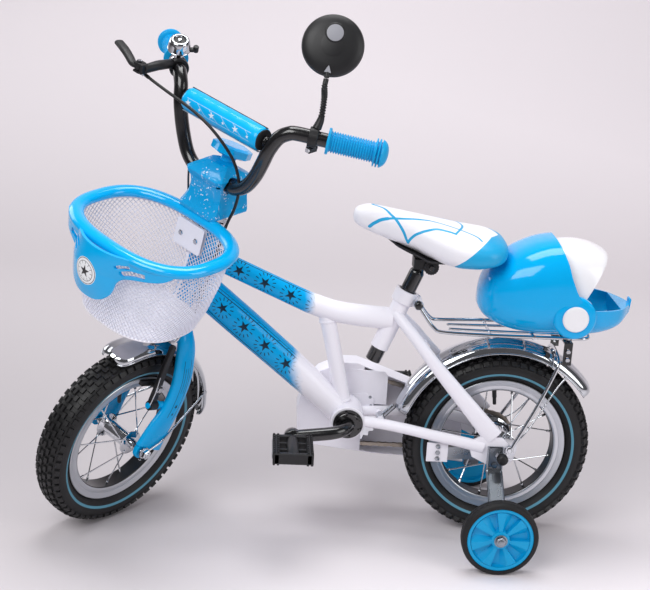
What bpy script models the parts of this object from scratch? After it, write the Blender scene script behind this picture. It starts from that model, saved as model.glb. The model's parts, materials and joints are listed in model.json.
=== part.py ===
"""Kids BMX bike with stabilisers, front basket, saddle box and hand brake, at rest with the bars turned.

The bike faces -X, its left side faces -Y and the floor is z = 0 under the rear tyre.
"""
import math

import bmesh
import bpy
import numpy as np
from mathutils import Matrix, Vector

MM = 0.001
GAP = 0.3 * MM
RUNNING_GAP = 0.4 * MM
CLAMP_GAP = 0.5 * MM

# Wheels
TYRE_RADIUS = 156 * MM
AXLE_HEIGHT = 156 * MM  # of the rear axle, for which the other heights are drawn
TYRE_HALF_WIDTH = 27 * MM
RIM_BED_RADIUS = 98.5 * MM
RIM_EDGE_RADIUS = 113.8 * MM
RIM_HALF_WIDTH = 17.6 * MM
TYRE_FOOT_RADIUS = RIM_EDGE_RADIUS + 2 * GAP
WHEEL_STEPS = 24
SPOKES = 12
SPOKE_RADIUS = 1.2 * MM
REAR_AXLE_RADIUS = 5 * MM
FRONT_AXLE_RADIUS = 4.5 * MM
DROPOUT_Y = 60 * MM
DROPOUT_THICK = 6 * MM

# Steering
HEAD_ANGLE = math.radians(70.87)
STEER_ANGLE = math.radians(49.2)
AXIS_FOOT_X = -661.4 * MM
FORK_RAKE = 27.7 * MM
STEERER_RADIUS = 12.7 * MM
STEERER_WALL = 1.6 * MM
QUILL_RADIUS = STEERER_RADIUS - STEERER_WALL - GAP
POST_RADIUS = QUILL_RADIUS + 1.7 * MM
HEAD_TUBE_LOW = 385 * MM
HEAD_TUBE_HIGH = 530 * MM
HEAD_BORE_ROOM = 2.5 * MM
HEAD_TUBE_RADIUS = STEERER_RADIUS + HEAD_BORE_ROOM + 2.8 * MM
HEADSET_HEIGHT = 14 * MM
LOCKNUT_HEIGHT = 26 * MM
CROWN_HEIGHT = 354 * MM
CROWN_RADIUS = 14 * MM

# Front brake
BRAKE_LEAN = math.radians(18)
BRAKE_PIN_RADIUS = 4 * MM
BRAKE_BOSS_HALF = 8 * MM

# Handlebar, given for its right half
BAR_RADIUS = 11.1 * MM
BAR_CENTRE = Vector((-496, 0, 596)) * MM
BAR_HALF = [(-496, 32, 596), (-496, 48, 597), (-495, 66, 610), (-494, 80, 633), (-494, 90, 659),
            (-493, 98, 685), (-487, 107, 707), (-480, 119, 718), (-472.4, 129.6, 721), (-446, 166, 719.5)]
GRIP_START = Vector(BAR_HALF[-1]) * MM
GRIP_SWEEP = math.radians(36)
GRIP_DROP = math.radians(2)
GRIP_LENGTH = 82 * MM
CROSSBAR_RADIUS = 7 * MM
CROSSBAR_Z = 694 * MM
PAD_RADIUS = 20 * MM
CROSSBAR_HALF = 98 * MM
PAD_HALF_LENGTH = CROSSBAR_HALF - BAR_RADIUS - 3.9 * MM

# Frame
BRACKET_CENTRE = Vector((-252, 0, 191)) * MM
BRACKET_RADIUS = 28 * MM
BRACKET_HALF_WIDTH = 34 * MM
SEAT_TUBE_TOP = Vector((-166, 0, 412)) * MM
SEAT_TUBE_FOOT = Vector((-206, 0, 314)) * MM
SEAT_POST_RADIUS = 12.5 * MM
POST_SIDES = 12
SEAT_TUBE_RADIUS = SEAT_POST_RADIUS + 2.5 * MM
NECK_RADIUS = 9.5 * MM
BRIDGE_RADIUS = 6 * MM

# Drive
CRANK_LENGTH = 92 * MM
CRANK_ANGLE = math.radians(186.9)
CRANK_RADIUS = 10.5 * MM
PEDAL_AXLE_RADIUS = 5 * MM
LEFT_ARM_Y = -72 * MM
RIGHT_ARM_Y = 88 * MM
CHAIN_Y = 44 * MM
CHAIN_PITCH = 12.7 * MM
RING_TEETH = 32
SPROCKET_TEETH = 16
RING_THICK = 2 * MM
TOOTH_RISE = 0.8 * MM
TOOTH_DEPTH = 4.5 * MM
WINDOW_RADIUS = 13 * MM
HUB_END_RADIUS = 14 * MM
BEARING_ROOM = CRANK_RADIUS + 6 * MM
CASE_OUTER_Y = 75 * MM
CASE_WALL = 2 * MM
CASE_HOLE_RADIUS = 30 * MM

# Stabilisers
SMALL_WHEEL_RADIUS = 61.5 * MM
SMALL_HUB_RADIUS = 53 * MM
SMALL_WHEEL_X = -11 * MM
SMALL_WHEEL_Y = 171 * MM
SMALL_WHEEL_WIDTH = 24 * MM
SMALL_BOLT_RADIUS = 5 * MM

# Mudguards
REAR_GUARD_RADIUS = TYRE_RADIUS + 28 * MM
REAR_GUARD_EDGE = TYRE_RADIUS + 9 * MM
FRONT_GUARD_RADIUS = TYRE_RADIUS + 24 * MM
FRONT_GUARD_EDGE = TYRE_RADIUS + 8 * MM
GUARD_HALF_WIDTH = 30.5 * MM
GUARD_THICK = 1.6 * MM
TAB_REACH = 7.13 * MM
STAY_ANGLE = math.radians(12.62)

# Carrier, box and basket
RACK_WIRE = 3 * MM
CROSS_WIRE = 2.5
CROSS_WIRE_Z = 353
BOX_WALL = 3 * MM
BOX_SIDES = 12
BOX_PIVOT = Vector((94, 0, 400)) * MM
BOSS_FACE = 83 * MM
VISOR_RADIUS = 110 * MM
VISOR_HALF_WIDTH = 71 * MM
VISOR_LOW_ANGLE = math.radians(59)
VISOR_SPAN = math.radians(92)
BASKET_CENTRE = Vector((-613.5, 0, 534)) * MM
BASKET_RIM_DEPTH = 102.5 * MM
BASKET_RIM_WIDTH = 141 * MM
BASKET_RIM_RADIUS = 12 * MM

X_AXIS = Vector((1, 0, 0))
Y_AXIS = Vector((0, 1, 0))
Z_AXIS = Vector((0, 0, 1))
AXIS = Vector((math.cos(HEAD_ANGLE), 0, math.sin(HEAD_ANGLE)))
AXIS_FORWARD = Vector((-math.sin(HEAD_ANGLE), 0, math.cos(HEAD_ANGLE)))
BRAKE_AXIS = Vector((math.cos(BRAKE_LEAN), 0, -math.sin(BRAKE_LEAN)))
BRAKE_UP = Vector((math.sin(BRAKE_LEAN), 0, math.cos(BRAKE_LEAN)))
REAR_HUB = Vector((0, 0, AXLE_HEIGHT))
LIFT = Z_AXIS * (TYRE_RADIUS - AXLE_HEIGHT)


def mm(*values):
    return Vector(values) * MM


def on_axis(distance):
    """Point of the steering axis at a distance along it from the floor."""
    return Vector((AXIS_FOOT_X, 0, 0)) + AXIS * distance


def mirrored(point):
    return Vector((point[0], -point[1], point[2]))


def clear_scene():
    for obj in list(bpy.data.objects):
        bpy.data.objects.remove(obj, do_unlink=True)


# Shapes are pairs of points and faces

def circle(centre, side, up, a, b, sides, turn=0.0):
    points = []
    for i in range(sides):
        angle = turn + 2 * math.pi * i / sides
        points.append(centre + side * (a * math.cos(angle)) + up * (b * math.sin(angle)))
    return points


def loft(rings, closed=False):
    """Skin over rings of equal point counts, with flat ends unless it closes on itself."""
    count = len(rings[0])
    points = [point for ring in rings for point in ring]
    faces = []
    steps = len(rings) if closed else len(rings) - 1
    for r in range(steps):
        low = r * count
        high = ((r + 1) % len(rings)) * count
        for i in range(count):
            j = (i + 1) % count
            faces.append((low + i, low + j, high + j, high + i))
    if not closed:
        faces.append(tuple(reversed(range(count))))
        faces.append(tuple(range(len(points) - count, len(points))))
    return points, faces


def smooth(points, per_step):
    """Catmull-Rom curve through the points."""
    points = [Vector(p) for p in points]
    ends = [points[0] * 2 - points[1]] + points + [points[-1] * 2 - points[-2]]
    curve = []
    for i in range(1, len(ends) - 2):
        p0, p1, p2, p3 = ends[i - 1:i + 3]
        for k in range(per_step):
            t = k / per_step
            curve.append(0.5 * (2 * p1 + (p2 - p0) * t + (2 * p0 - 5 * p1 + 4 * p2 - p3) * t ** 2
                                + (3 * p1 - p0 - 3 * p2 + p3) * t ** 3))
    curve.append(points[-1])
    return curve


def tangents(path, closed=False):
    found = []
    for i in range(len(path)):
        if closed:
            step = path[(i + 1) % len(path)] - path[i - 1]
        else:
            step = path[min(i + 1, len(path) - 1)] - path[max(i - 1, 0)]
        found.append(step.normalized())
    return found


def tube(path, radius, sides=10, guide=Y_AXIS, flat=None, closed=False):
    """Round bar along a path. Radius may be a list; flat is the radius across the guide."""
    count = len(path)
    wide = radius if isinstance(radius, (list, tuple)) else [radius] * count
    tall = wide if flat is None else (flat if isinstance(flat, (list, tuple)) else [flat] * count)
    rings = []
    for i, (point, tangent) in enumerate(zip(path, tangents(path, closed))):
        side = (guide - tangent * guide.dot(tangent)).normalized()
        up = tangent.cross(side)
        rings.append(circle(point, side, up, wide[i], tall[i], sides))
    return loft(rings, closed)


def spread(values, count):
    """Values read evenly along a list, as radii for every point of a path."""
    places = np.linspace(0, len(values) - 1, count)
    return [float(v) for v in np.interp(places, range(len(values)), values)]


def rod(start, end, radius, sides=10, turn=0.0):
    axis = (end - start).normalized()
    side = axis.orthogonal().normalized() if abs(axis.y) > 0.9 else Y_AXIS
    side = (side - axis * side.dot(axis)).normalized()
    up = axis.cross(side)
    return loft([circle(point, side, up, radius, radius, sides, turn) for point in (start, end)])


def hole(start, end, radius, sides=10):
    """Round cutter whose flats lie at the radius."""
    return rod(start, end, radius / math.cos(math.pi / sides), sides)


def across(axis):
    """Two directions square to an axis and to each other."""
    side = (X_AXIS - axis * axis.x).normalized()
    return side, axis.cross(side)


def turned(profile, centre, axis=Y_AXIS, steps=24):
    """Solid of revolution from (distance along the axis, radius) stations, with flat ends."""
    side, up = across(axis)
    return loft([circle(centre + axis * along, side, up, r, r, steps, math.pi / steps)
                 for along, r in profile])


def ring(profile, centre, axis=Y_AXIS, steps=24):
    """Ring of revolution from a closed outline of (distance along the axis, radius), flats at the radius."""
    side, up = across(axis)
    grow = 1 / math.cos(math.pi / steps)
    rings = []
    for i in range(steps):
        angle = 2 * math.pi * (i + 0.5) / steps
        out = side * math.cos(angle) + up * math.sin(angle)
        rings.append([centre + axis * along + out * (r * grow) for along, r in profile])
    return loft(rings, closed=True)


def collar(centre, axis, inner, outer, low, high, steps=20):
    """Plain ring between two radii and two distances along its axis."""
    return ring([(low, inner), (low, outer), (high, outer), (high, inner)], centre, axis, steps)


def prism(outline, low, high):
    """Outline of (x, z) in millimetres drawn out between two y values in metres."""
    rings = [[Vector((x * MM, y, z * MM)) for x, z in outline] for y in (low, high)]
    return loft(rings)


def box(low, high):
    x0, y0, z0 = low
    x1, y1, z1 = high
    outline = [(x0, y0), (x1, y0), (x1, y1), (x0, y1)]
    return loft([[Vector((x, y, z)) for x, y in outline] for z in (z0, z1)])


def mesh_from(name, shape):
    points, faces = shape
    mesh = bpy.data.meshes.new(name)
    mesh.from_pydata([tuple(p) for p in points], [], faces)
    edit = bmesh.new()
    edit.from_mesh(mesh)
    bmesh.ops.recalc_face_normals(edit, faces=edit.faces)
    bmesh.ops.triangulate(edit, faces=edit.faces)
    edit.to_mesh(mesh)
    edit.free()
    return mesh


def combine(name, add, cut):
    """One mesh from shapes joined together and shapes cut away."""
    base = bpy.data.objects.new(name, mesh_from(name, add[0]))
    bpy.context.scene.collection.objects.link(base)
    helpers = []
    for operation, shapes in (("UNION", add[1:]), ("DIFFERENCE", cut)):
        for shape in shapes:
            helper = bpy.data.objects.new(name + "_tool", mesh_from(name + "_tool", shape))
            bpy.context.scene.collection.objects.link(helper)
            helpers.append(helper)
            boolean = base.modifiers.new(operation, "BOOLEAN")
            boolean.operation = operation
            boolean.solver = "EXACT"
            boolean.object = helper
    bpy.context.view_layer.update()
    graph = bpy.context.evaluated_depsgraph_get()
    mesh = bpy.data.meshes.new_from_object(base.evaluated_get(graph))
    for obj in helpers + [base]:
        bpy.data.objects.remove(obj, do_unlink=True)
    return mesh


def srgb(code):
    channels = [int(code[i:i + 2], 16) / 255 for i in (1, 3, 5)]
    return [c / 12.92 if c <= 0.04045 else ((c + 0.055) / 1.055) ** 2.4 for c in channels] + [1.0]


def finish_material(name, colour, roughness, metallic):
    material = bpy.data.materials.new(name)
    material.use_nodes = True
    shader = material.node_tree.nodes["Principled BSDF"]
    shader.inputs["Base Color"].default_value = srgb(colour)
    shader.inputs["Roughness"].default_value = roughness
    shader.inputs["Metallic"].default_value = metallic
    material.diffuse_color = srgb(colour)
    return material


PAINT_BLUE = ("#0E9BDB", 0.25, 0.0)
PLASTIC_BLUE = ("#10AEEB", 0.35, 0.0)
COVER_BLUE = ("#1286C8", 0.35, 0.0)
WHITE = ("#F2F0F8", 0.4, 0.0)
BLACK = ("#151517", 0.4, 0.0)
RUBBER = ("#161618", 0.8, 0.0)
CHROME = ("#D5D8DC", 0.12, 1.0)
STEEL = ("#A9ADB3", 0.35, 1.0)


def place(name, mesh, finish, origin, parent=None):
    """Object at its origin, its mesh given in the straight-ahead frame of the bike."""
    mesh.transform(Matrix.Translation(-origin))
    mesh.materials.clear()
    mesh.materials.append(finish_material(name + "_finish", *finish))
    mesh.shade_smooth()
    mesh.set_sharp_from_angle(angle=math.radians(35))
    obj = bpy.data.objects.new(name, mesh)
    bpy.context.scene.collection.objects.link(obj)
    put(obj, origin, parent)
    return obj


def put(obj, origin, parent):
    if parent is None:
        obj.location = origin + LIFT
    else:
        obj.parent = parent
        obj.location = origin - Vector(parent["straight"])


def copy_of(source, name, origin, parent=None):
    obj = bpy.data.objects.new(name, source.data)
    bpy.context.scene.collection.objects.link(obj)
    put(obj, origin, parent)
    return obj


def make(name, finish, add, cut=(), origin=None, parent=None):
    return place(name, combine(name, list(add), list(cut)), finish, origin or Vector(), parent)


class Steering:
    """The empty that turns every steered piece, and the placing of the front axle."""

    def __init__(self):
        self.origin = on_axis(HEAD_TUBE_LOW)
        self.empty = bpy.data.objects.new("steering_axis", None)
        bpy.context.scene.collection.objects.link(self.empty)
        self.empty.location = self.origin + LIFT
        self.empty.rotation_mode = "QUATERNION"
        self.turn = Matrix.Rotation(STEER_ANGLE, 3, AXIS)
        self.empty.rotation_quaternion = self.turn.to_quaternion()
        self.empty["straight"] = list(self.origin)
        self.axle = self.front_axle()

    def front_axle(self):
        """Axle for which the turned tyre just stands on the floor."""
        points, _ = tyre_shape(Vector())
        lowest = min((self.turn @ p).z for p in points)
        rake = AXIS_FORWARD * FORK_RAKE
        along = (-LIFT.z - lowest - (self.turn @ rake).z) / AXIS.z
        return on_axis(along) + rake


def tyre_shape(centre):
    """Tyre with a flat tread facet at the bottom."""
    wide = TYRE_HALF_WIDTH
    foot = TYRE_FOOT_RADIUS
    wall = TYRE_RADIUS - foot
    half = [(13.2 * MM, 106.5 * MM), (14 * MM, foot), (wide, foot + 0.375 * wall),
            (0.82 * wide, foot + 0.8317 * wall), (0.26 * wide, TYRE_RADIUS)]
    outline = [(-y, r) for y, r in half] + [(y, r) for y, r in reversed(half)]
    return ring(outline, centre, steps=WHEEL_STEPS)


def rim_shape(centre):
    wide = RIM_HALF_WIDTH
    half = [(wide - 4 * MM, RIM_BED_RADIUS), (wide, RIM_EDGE_RADIUS), (wide - 3 * MM, RIM_EDGE_RADIUS),
            (wide - 4 * MM, 105.8 * MM)]
    outline = [(-y, r) for y, r in half] + [(y, r) for y, r in reversed(half)]
    return ring(outline, centre, steps=WHEEL_STEPS)


def hub_shapes(centre, barrel, flange, flange_y, left_y, right_y, end_radius, bore):
    """Hub barrel with two flanges, and spokes laced to the rim."""
    profile = [(left_y, bore), (left_y, end_radius), (-flange_y - 1.5 * MM, end_radius),
               (-flange_y - 1.5 * MM, flange), (-flange_y + 1.5 * MM, flange), (-flange_y + 4 * MM, barrel),
               (flange_y - 4 * MM, barrel), (flange_y - 1.5 * MM, flange), (flange_y + 1.5 * MM, flange),
               (flange_y + 1.5 * MM, end_radius), (right_y, end_radius), (right_y, bore)]
    shapes = [ring(profile, centre, steps=8)]
    reach = RIM_BED_RADIUS - 0.8 * MM
    for k in range(SPOKES):
        rim_angle = 2 * math.pi * (k + 0.5) / SPOKES
        lean = math.radians(36) * (1 if k % 4 < 2 else -1)
        side = 1 if k % 2 else -1
        hub_angle = rim_angle + lean
        start = centre + Vector((math.cos(hub_angle), 0, math.sin(hub_angle))) * (flange - 3 * MM)
        end = centre + Vector((math.cos(rim_angle), 0, math.sin(rim_angle))) * reach
        start.y += side * flange_y
        end.y += side * 4 * MM
        shapes.append(rod(start, end, SPOKE_RADIUS, sides=3, turn=0.3 if lean > 0 else 1.3))
    return shapes


def hexagon(centre, radius, low, high):
    return turned([(low, radius), (high, radius)], centre, steps=6)


# Frame

def seat_line(distance):
    """Point on the seat tube axis, measured up from the lower end."""
    return SEAT_TUBE_FOOT + (SEAT_TUBE_TOP - SEAT_TUBE_FOOT).normalized() * distance


def stay_shapes(side):
    """Chain stay, seat stay and dropout of one side."""
    chain_stay = [mm(-250, 22 * side, 192), mm(-205, 28 * side, 191.5), mm(-160, 40 * side, 188.5),
                  mm(-110, 54 * side, 183), mm(-69, 60 * side, 177), mm(-30, 60 * side, 168)]
    seat_stay = [mm(-184, 8 * side, 376), mm(-150, 33 * side, 341), mm(-118, 46 * side, 303),
                 mm(-60, 57 * side, 238), mm(-14, 60 * side, 186)]
    plate = [(-56, 177), (-36, 187), (0, 186), (14, 174), (22, 161.4), (-2, 161.4), (-5.5, 158.5),
             (-5.5, 153.5), (-2, 150.6), (22, 150.6), (18, 145), (2, 139), (-22, 139), (-48, 152)]
    y = DROPOUT_Y * side
    return [
        tube(chain_stay, spread([8.5 * MM, 8.5 * MM, 7 * MM], len(chain_stay)), 7,
             flat=spread([9 * MM, 9 * MM, 10 * MM], len(chain_stay))),
        tube(seat_stay, spread([9 * MM, 8 * MM, 7 * MM, 5.5 * MM], len(seat_stay)), 7,
             flat=spread([9 * MM, 10 * MM, 13 * MM, 16 * MM], len(seat_stay))),
        prism(plate, y - DROPOUT_THICK / 2, y + DROPOUT_THICK / 2),
    ]


def build_frame():
    head = rod(on_axis(HEAD_TUBE_LOW), on_axis(HEAD_TUBE_HIGH), HEAD_TUBE_RADIUS, 14)
    top = [mm(-501, 0, 463), mm(-345, 0, 394.5), mm(-313, 0, 382), mm(-280, 0, 372.5), mm(-240, 0, 367.5),
           mm(-188, 0, 364)]
    down = [mm(-516, 0, 417), mm(-490, 0, 396), mm(-402, 0, 322), mm(-333, 0, 263), mm(-252, 0, 190)]
    strut = [mm(-297, 0, 372), mm(-286, 0, 331), mm(-266, 0, 245), mm(-256, 0, 196)]
    add = [
        tube(top, spread([17 * MM, 17 * MM, 18.5 * MM], len(top)), 9),
        head,
        tube(down, spread([15 * MM, 25 * MM, 26 * MM, 25 * MM, 21 * MM], len(down)), 10,
             flat=spread([27.5 * MM, 27 * MM, 25 * MM, 21 * MM], len(down))),
        tube(strut, 13 * MM, 8),
        rod(SEAT_TUBE_FOOT, SEAT_TUBE_TOP, SEAT_TUBE_RADIUS, 11),
        turned([(-BRACKET_HALF_WIDTH, BRACKET_RADIUS), (BRACKET_HALF_WIDTH, BRACKET_RADIUS)],
               BRACKET_CENTRE, steps=13),
        rod(mm(-128, -38, 314), mm(-128, 38, 314), BRIDGE_RADIUS, 6),
        rod(mm(-196, -30, 191), mm(-196, 30, 191), BRIDGE_RADIUS, 6),
    ]
    add += stay_shapes(-1) + stay_shapes(1)
    cut = [
        hole(on_axis(HEAD_TUBE_LOW - 20 * MM), on_axis(HEAD_TUBE_HIGH + 20 * MM),
             STEERER_RADIUS + HEAD_BORE_ROOM, 12),
        hole(seat_line(-27 * MM), seat_line(140 * MM), SEAT_POST_RADIUS + GAP, POST_SIDES),
        hole(BRACKET_CENTRE - Y_AXIS * 60 * MM, BRACKET_CENTRE + Y_AXIS * 60 * MM, BEARING_ROOM, 12),
    ]
    make("frame", PAINT_BLUE, add, cut)


def build_headset():
    bore = STEERER_RADIUS + GAP
    outer = HEAD_TUBE_RADIUS + 3 * MM
    low = HEAD_TUBE_LOW - HEADSET_HEIGHT - GAP
    make("headset_lower", STEEL, [ring(
        [(0, bore), (0, outer - 4 * MM), (4 * MM, outer), (HEADSET_HEIGHT, outer), (HEADSET_HEIGHT, bore)],
        on_axis(low), AXIS, 14)])
    make("headset_upper", CHROME, [ring(
        [(0, bore), (0, outer), (9 * MM, outer), (12 * MM, outer - 3 * MM), (14 * MM, outer - 1 * MM),
         (LOCKNUT_HEIGHT, outer - 3 * MM), (LOCKNUT_HEIGHT, bore)],
        on_axis(HEAD_TUBE_HIGH + GAP), AXIS, 14)])


def build_seat_clamp():
    axis = (SEAT_TUBE_TOP - SEAT_TUBE_FOOT).normalized()
    back = axis.cross(Y_AXIS) * -1
    inner = SEAT_TUBE_RADIUS + GAP
    centre = seat_line((SEAT_TUBE_TOP - SEAT_TUBE_FOOT).length - 20 * MM)
    ear = centre + axis * 10 * MM + back * (inner + 7.7 * MM)
    make("seat_clamp", WHITE, [
        collar(centre, axis, inner, inner + 4 * MM, 0, 21 * MM, 11),
        rod(ear - Y_AXIS * 11 * MM, ear + Y_AXIS * 11 * MM, 8 * MM, 8),
        rod(ear - Y_AXIS * 25 * MM, ear + Y_AXIS * 25 * MM, 3 * MM, 6),
    ], [hole(centre - axis * MM, centre + axis * 40 * MM, inner)])
    return ear


def build_bracket_cup():
    make("bb_cup_left", BLACK, [ring(
        [(0, CRANK_RADIUS + GAP), (0, 24 * MM), (4 * MM, 24 * MM), (4.2 * MM, 20 * MM), (8 * MM, 20 * MM),
         (8 * MM, CRANK_RADIUS + GAP)],
        BRACKET_CENTRE - Y_AXIS * (BRACKET_HALF_WIDTH + GAP), -Y_AXIS, 14)])


# Drive

def crank_path():
    c = BRACKET_CENTRE
    arm = Vector((math.cos(CRANK_ANGLE), 0, math.sin(CRANK_ANGLE)))

    def at(reach, y):
        return c + arm * reach + Y_AXIS * y

    left = [at(CRANK_LENGTH, LEFT_ARM_Y), at(60 * MM, LEFT_ARM_Y), at(30 * MM, LEFT_ARM_Y + 1 * MM),
            at(12 * MM, LEFT_ARM_Y + 8 * MM), at(2 * MM, -52 * MM)]
    right = [at(-2 * MM, 62 * MM), at(-12 * MM, RIGHT_ARM_Y - 8 * MM), at(-30 * MM, RIGHT_ARM_Y - 1 * MM),
             at(-60 * MM, RIGHT_ARM_Y), at(-CRANK_LENGTH, RIGHT_ARM_Y)]
    return left + [at(0, y * MM) for y in (-44, -36, 36, 53)] + right


def bent_bar(path, radius, sides):
    """Round bar whose rings stay square to a strongly bent path."""
    directions = tangents(path)
    side = directions[0].cross(Z_AXIS).normalized()
    rings = []
    for point, direction in zip(path, directions):
        side = (side - direction * side.dot(direction)).normalized()
        rings.append(circle(point, side, direction.cross(side), radius, radius, sides))
    return loft(rings)


def pedal_centre(side):
    reach = CRANK_LENGTH if side < 0 else -CRANK_LENGTH
    y = (LEFT_ARM_Y if side < 0 else RIGHT_ARM_Y) + side * 54 * MM
    return BRACKET_CENTRE + Vector((math.cos(CRANK_ANGLE) * reach, y, math.sin(CRANK_ANGLE) * reach))


def build_crank():
    path = crank_path()
    add = [bent_bar(path, CRANK_RADIUS, 8)]
    for side, end in ((-1, path[0]), (1, path[-1])):
        add.append(rod(end - Y_AXIS * 8 * MM, end + Y_AXIS * 8 * MM, 14 * MM, 10))
        add.append(rod(end, end + Y_AXIS * side * 90 * MM, PEDAL_AXLE_RADIUS, 8))
    make("crank", BLACK, add, origin=BRACKET_CENTRE)


def build_pedals():
    centre = pedal_centre(-1)
    half_x = 32 * MM
    half_y = 41 * MM
    half_z = 12 * MM
    bars = []
    for s in (-1, 1):
        x = centre.x + s * (half_x - 8 * MM)
        bars.append(box((x - 8 * MM, centre.y - half_y, centre.z - half_z),
                        (x + 8 * MM, centre.y + half_y, centre.z + half_z)))
        y = centre.y + s * (half_y - 4 * MM)
        bars.append(box((centre.x - half_x + 2 * MM, y - 4 * MM, centre.z - half_z + 3 * MM),
                        (centre.x + half_x - 2 * MM, y + 4 * MM, centre.z + half_z - 3 * MM)))
    barrel = rod(centre - Y_AXIS * (half_y - 1 * MM), centre + Y_AXIS * (half_y - 1 * MM), 11 * MM, 8)
    bore = hole(centre - Y_AXIS * 60 * MM, centre + Y_AXIS * 60 * MM, PEDAL_AXLE_RADIUS + RUNNING_GAP, 10)
    left = make("pedal_left", BLACK, [barrel] + bars, [bore], origin=centre)
    copy_of(left, "pedal_right", pedal_centre(1))


def toothed(centre, teeth, root, tip):
    """Closed outline of a chain wheel in millimetres of x and z."""
    outline = []
    for k in range(teeth):
        for part, radius in ((0, root), (0.5, tip)):
            angle = 2 * math.pi * (k + part) / teeth
            spot = centre + Vector((math.cos(angle), 0, math.sin(angle))) * radius
            outline.append((spot.x / MM, spot.z / MM))
    return outline


def pitch_radius(teeth):
    return CHAIN_PITCH / (2 * math.sin(math.pi / teeth))


def build_chain_wheels():
    half = RING_THICK / 2
    big = pitch_radius(RING_TEETH)
    c = BRACKET_CENTRE
    windows = []
    for k in range(5):
        angle = 2 * math.pi * (k + 0.25) / 5
        spot = c + Vector((math.cos(angle), 0, math.sin(angle))) * 0.6 * big
        windows.append(rod(spot + Y_AXIS * (CHAIN_Y - 5 * MM), spot + Y_AXIS * (CHAIN_Y + 5 * MM),
                           WINDOW_RADIUS, 6))
    bore = CRANK_RADIUS + GAP
    make("chainring", CHROME, [
        prism(toothed(c, RING_TEETH, big - TOOTH_DEPTH, big + TOOTH_RISE), CHAIN_Y - half, CHAIN_Y + half),
        rod(c + Y_AXIS * (CHAIN_Y - 4 * MM), c + Y_AXIS * (CHAIN_Y + 4 * MM), 19 * MM, 12),
    ], windows + [hole(c, c + Y_AXIS * 90 * MM, bore, 8)], origin=c)
    hub = REAR_HUB
    small = pitch_radius(SPROCKET_TEETH)
    make("rear_sprocket", STEEL, [
        prism(toothed(hub, SPROCKET_TEETH, small - TOOTH_DEPTH, small + TOOTH_RISE),
              CHAIN_Y - half, CHAIN_Y + half),
    ], [hole(hub, hub + Y_AXIS * 90 * MM, HUB_END_RADIUS / math.cos(math.pi / 8) + GAP)], origin=hub)


def chain_points():
    """The pitch line round both chain wheels, taking the open tangents between them."""
    big = pitch_radius(RING_TEETH)
    small = pitch_radius(SPROCKET_TEETH)
    front = BRACKET_CENTRE.copy()
    back = REAR_HUB
    span = back - front
    lean = math.atan2(span.z, span.x)
    open_angle = math.acos((big - small) / span.length)
    points = []
    for centre, radius, first, last, steps in (
            (front, big, lean + open_angle, lean + 2 * math.pi - open_angle, 12),
            (back, small, lean - open_angle, lean + open_angle, 6)):
        for k in range(steps + 1):
            angle = first + (last - first) * k / steps
            out = Vector((math.cos(angle), 0, math.sin(angle)))
            points.append((centre + out * radius + Y_AXIS * CHAIN_Y, out))
    return points


def build_chain():
    section = [(-4, -3.5), (-4, -1.3), (1.9, -1.3), (1.9, 1.3), (-4, 1.3), (-4, 3.5), (4, 3.5), (4, -3.5)]
    rings = [[point + out * (r * MM) + Y_AXIS * (y * MM) for r, y in section]
             for point, out in chain_points()]
    make("chain", STEEL, [loft(rings, closed=True)])


CASE_OUTLINE = [(-318, 126), (-332, 150), (-334, 190), (-325, 226), (-300, 256), (-262, 273), (-236, 273),
                (-181, 252), (-110, 226), (-46, 199), (-46, 102), (-120, 108), (-201, 112)]


def shrunk(outline, by):
    """Outline moved inwards by a distance, corner by corner."""
    points = [Vector((x, z)) for x, z in outline]
    area = sum(points[i - 1].x * points[i].y - points[i].x * points[i - 1].y for i in range(len(points)))
    turn = 1 if area > 0 else -1
    moved = []
    for i, p in enumerate(points):
        a = (p - points[i - 1]).normalized()
        b = (points[(i + 1) % len(points)] - p).normalized()
        na = Vector((-a.y, a.x)) * turn
        nb = Vector((-b.y, b.x)) * turn
        n = (na + nb).normalized()
        moved.append(tuple(p + n * (by / max(0.4, n.dot(na)))))
    return moved


def right_of(outline, edge):
    """The part of an outline whose x is past an edge."""
    kept = []
    for (x0, z0), (x1, z1) in zip(outline, outline[1:] + outline[:1]):
        if x0 > edge:
            kept.append((x0, z0))
        if (x0 > edge) != (x1 > edge):
            kept.append((edge, z0 + (z1 - z0) * (edge - x0) / (x1 - x0)))
    return kept


def build_chain_case():
    """Case round the chain, open at the rear end and, behind the bracket, on its inner side."""
    inner_y = BRACKET_HALF_WIDTH + GAP
    room_low = inner_y + CASE_WALL
    room_high = CASE_OUTER_Y - CASE_WALL
    room = shrunk(CASE_OUTLINE, CASE_WALL / MM)
    room = [(x + 40 if x > -60 else x, z) for x, z in room]
    behind = right_of(room, (BRACKET_CENTRE.x + BRACKET_RADIUS) / MM)
    c = BRACKET_CENTRE
    make("chain_case", WHITE, [prism(CASE_OUTLINE, inner_y, CASE_OUTER_Y)], [
        prism(room, room_low, room_high),
        prism(behind, inner_y - 5 * MM, room_low + 5 * MM),
        rod(c + Y_AXIS * (inner_y - 9 * MM), c + Y_AXIS * (room_low + 5 * MM), BEARING_ROOM + MM, 12),
        rod(c + Y_AXIS * (room_high - 9 * MM), c + Y_AXIS * (CASE_OUTER_Y + 9 * MM), CASE_HOLE_RADIUS, 16),
    ])


# Rear wheel and stabilisers

def build_rear_wheel():
    hub = REAR_HUB
    shapes = hub_shapes(hub, 24 * MM, 31 * MM, 32 * MM, -44 * MM, 47 * MM, HUB_END_RADIUS,
                        REAR_AXLE_RADIUS + RUNNING_GAP)
    hub_object = make("rear_hub", STEEL, shapes, origin=hub)
    rim = make("rear_rim", STEEL, [rim_shape(hub)], origin=hub)
    tyre = make("rear_tyre", RUBBER, [tyre_shape(hub)], origin=hub)
    return hub_object, rim, tyre


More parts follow.
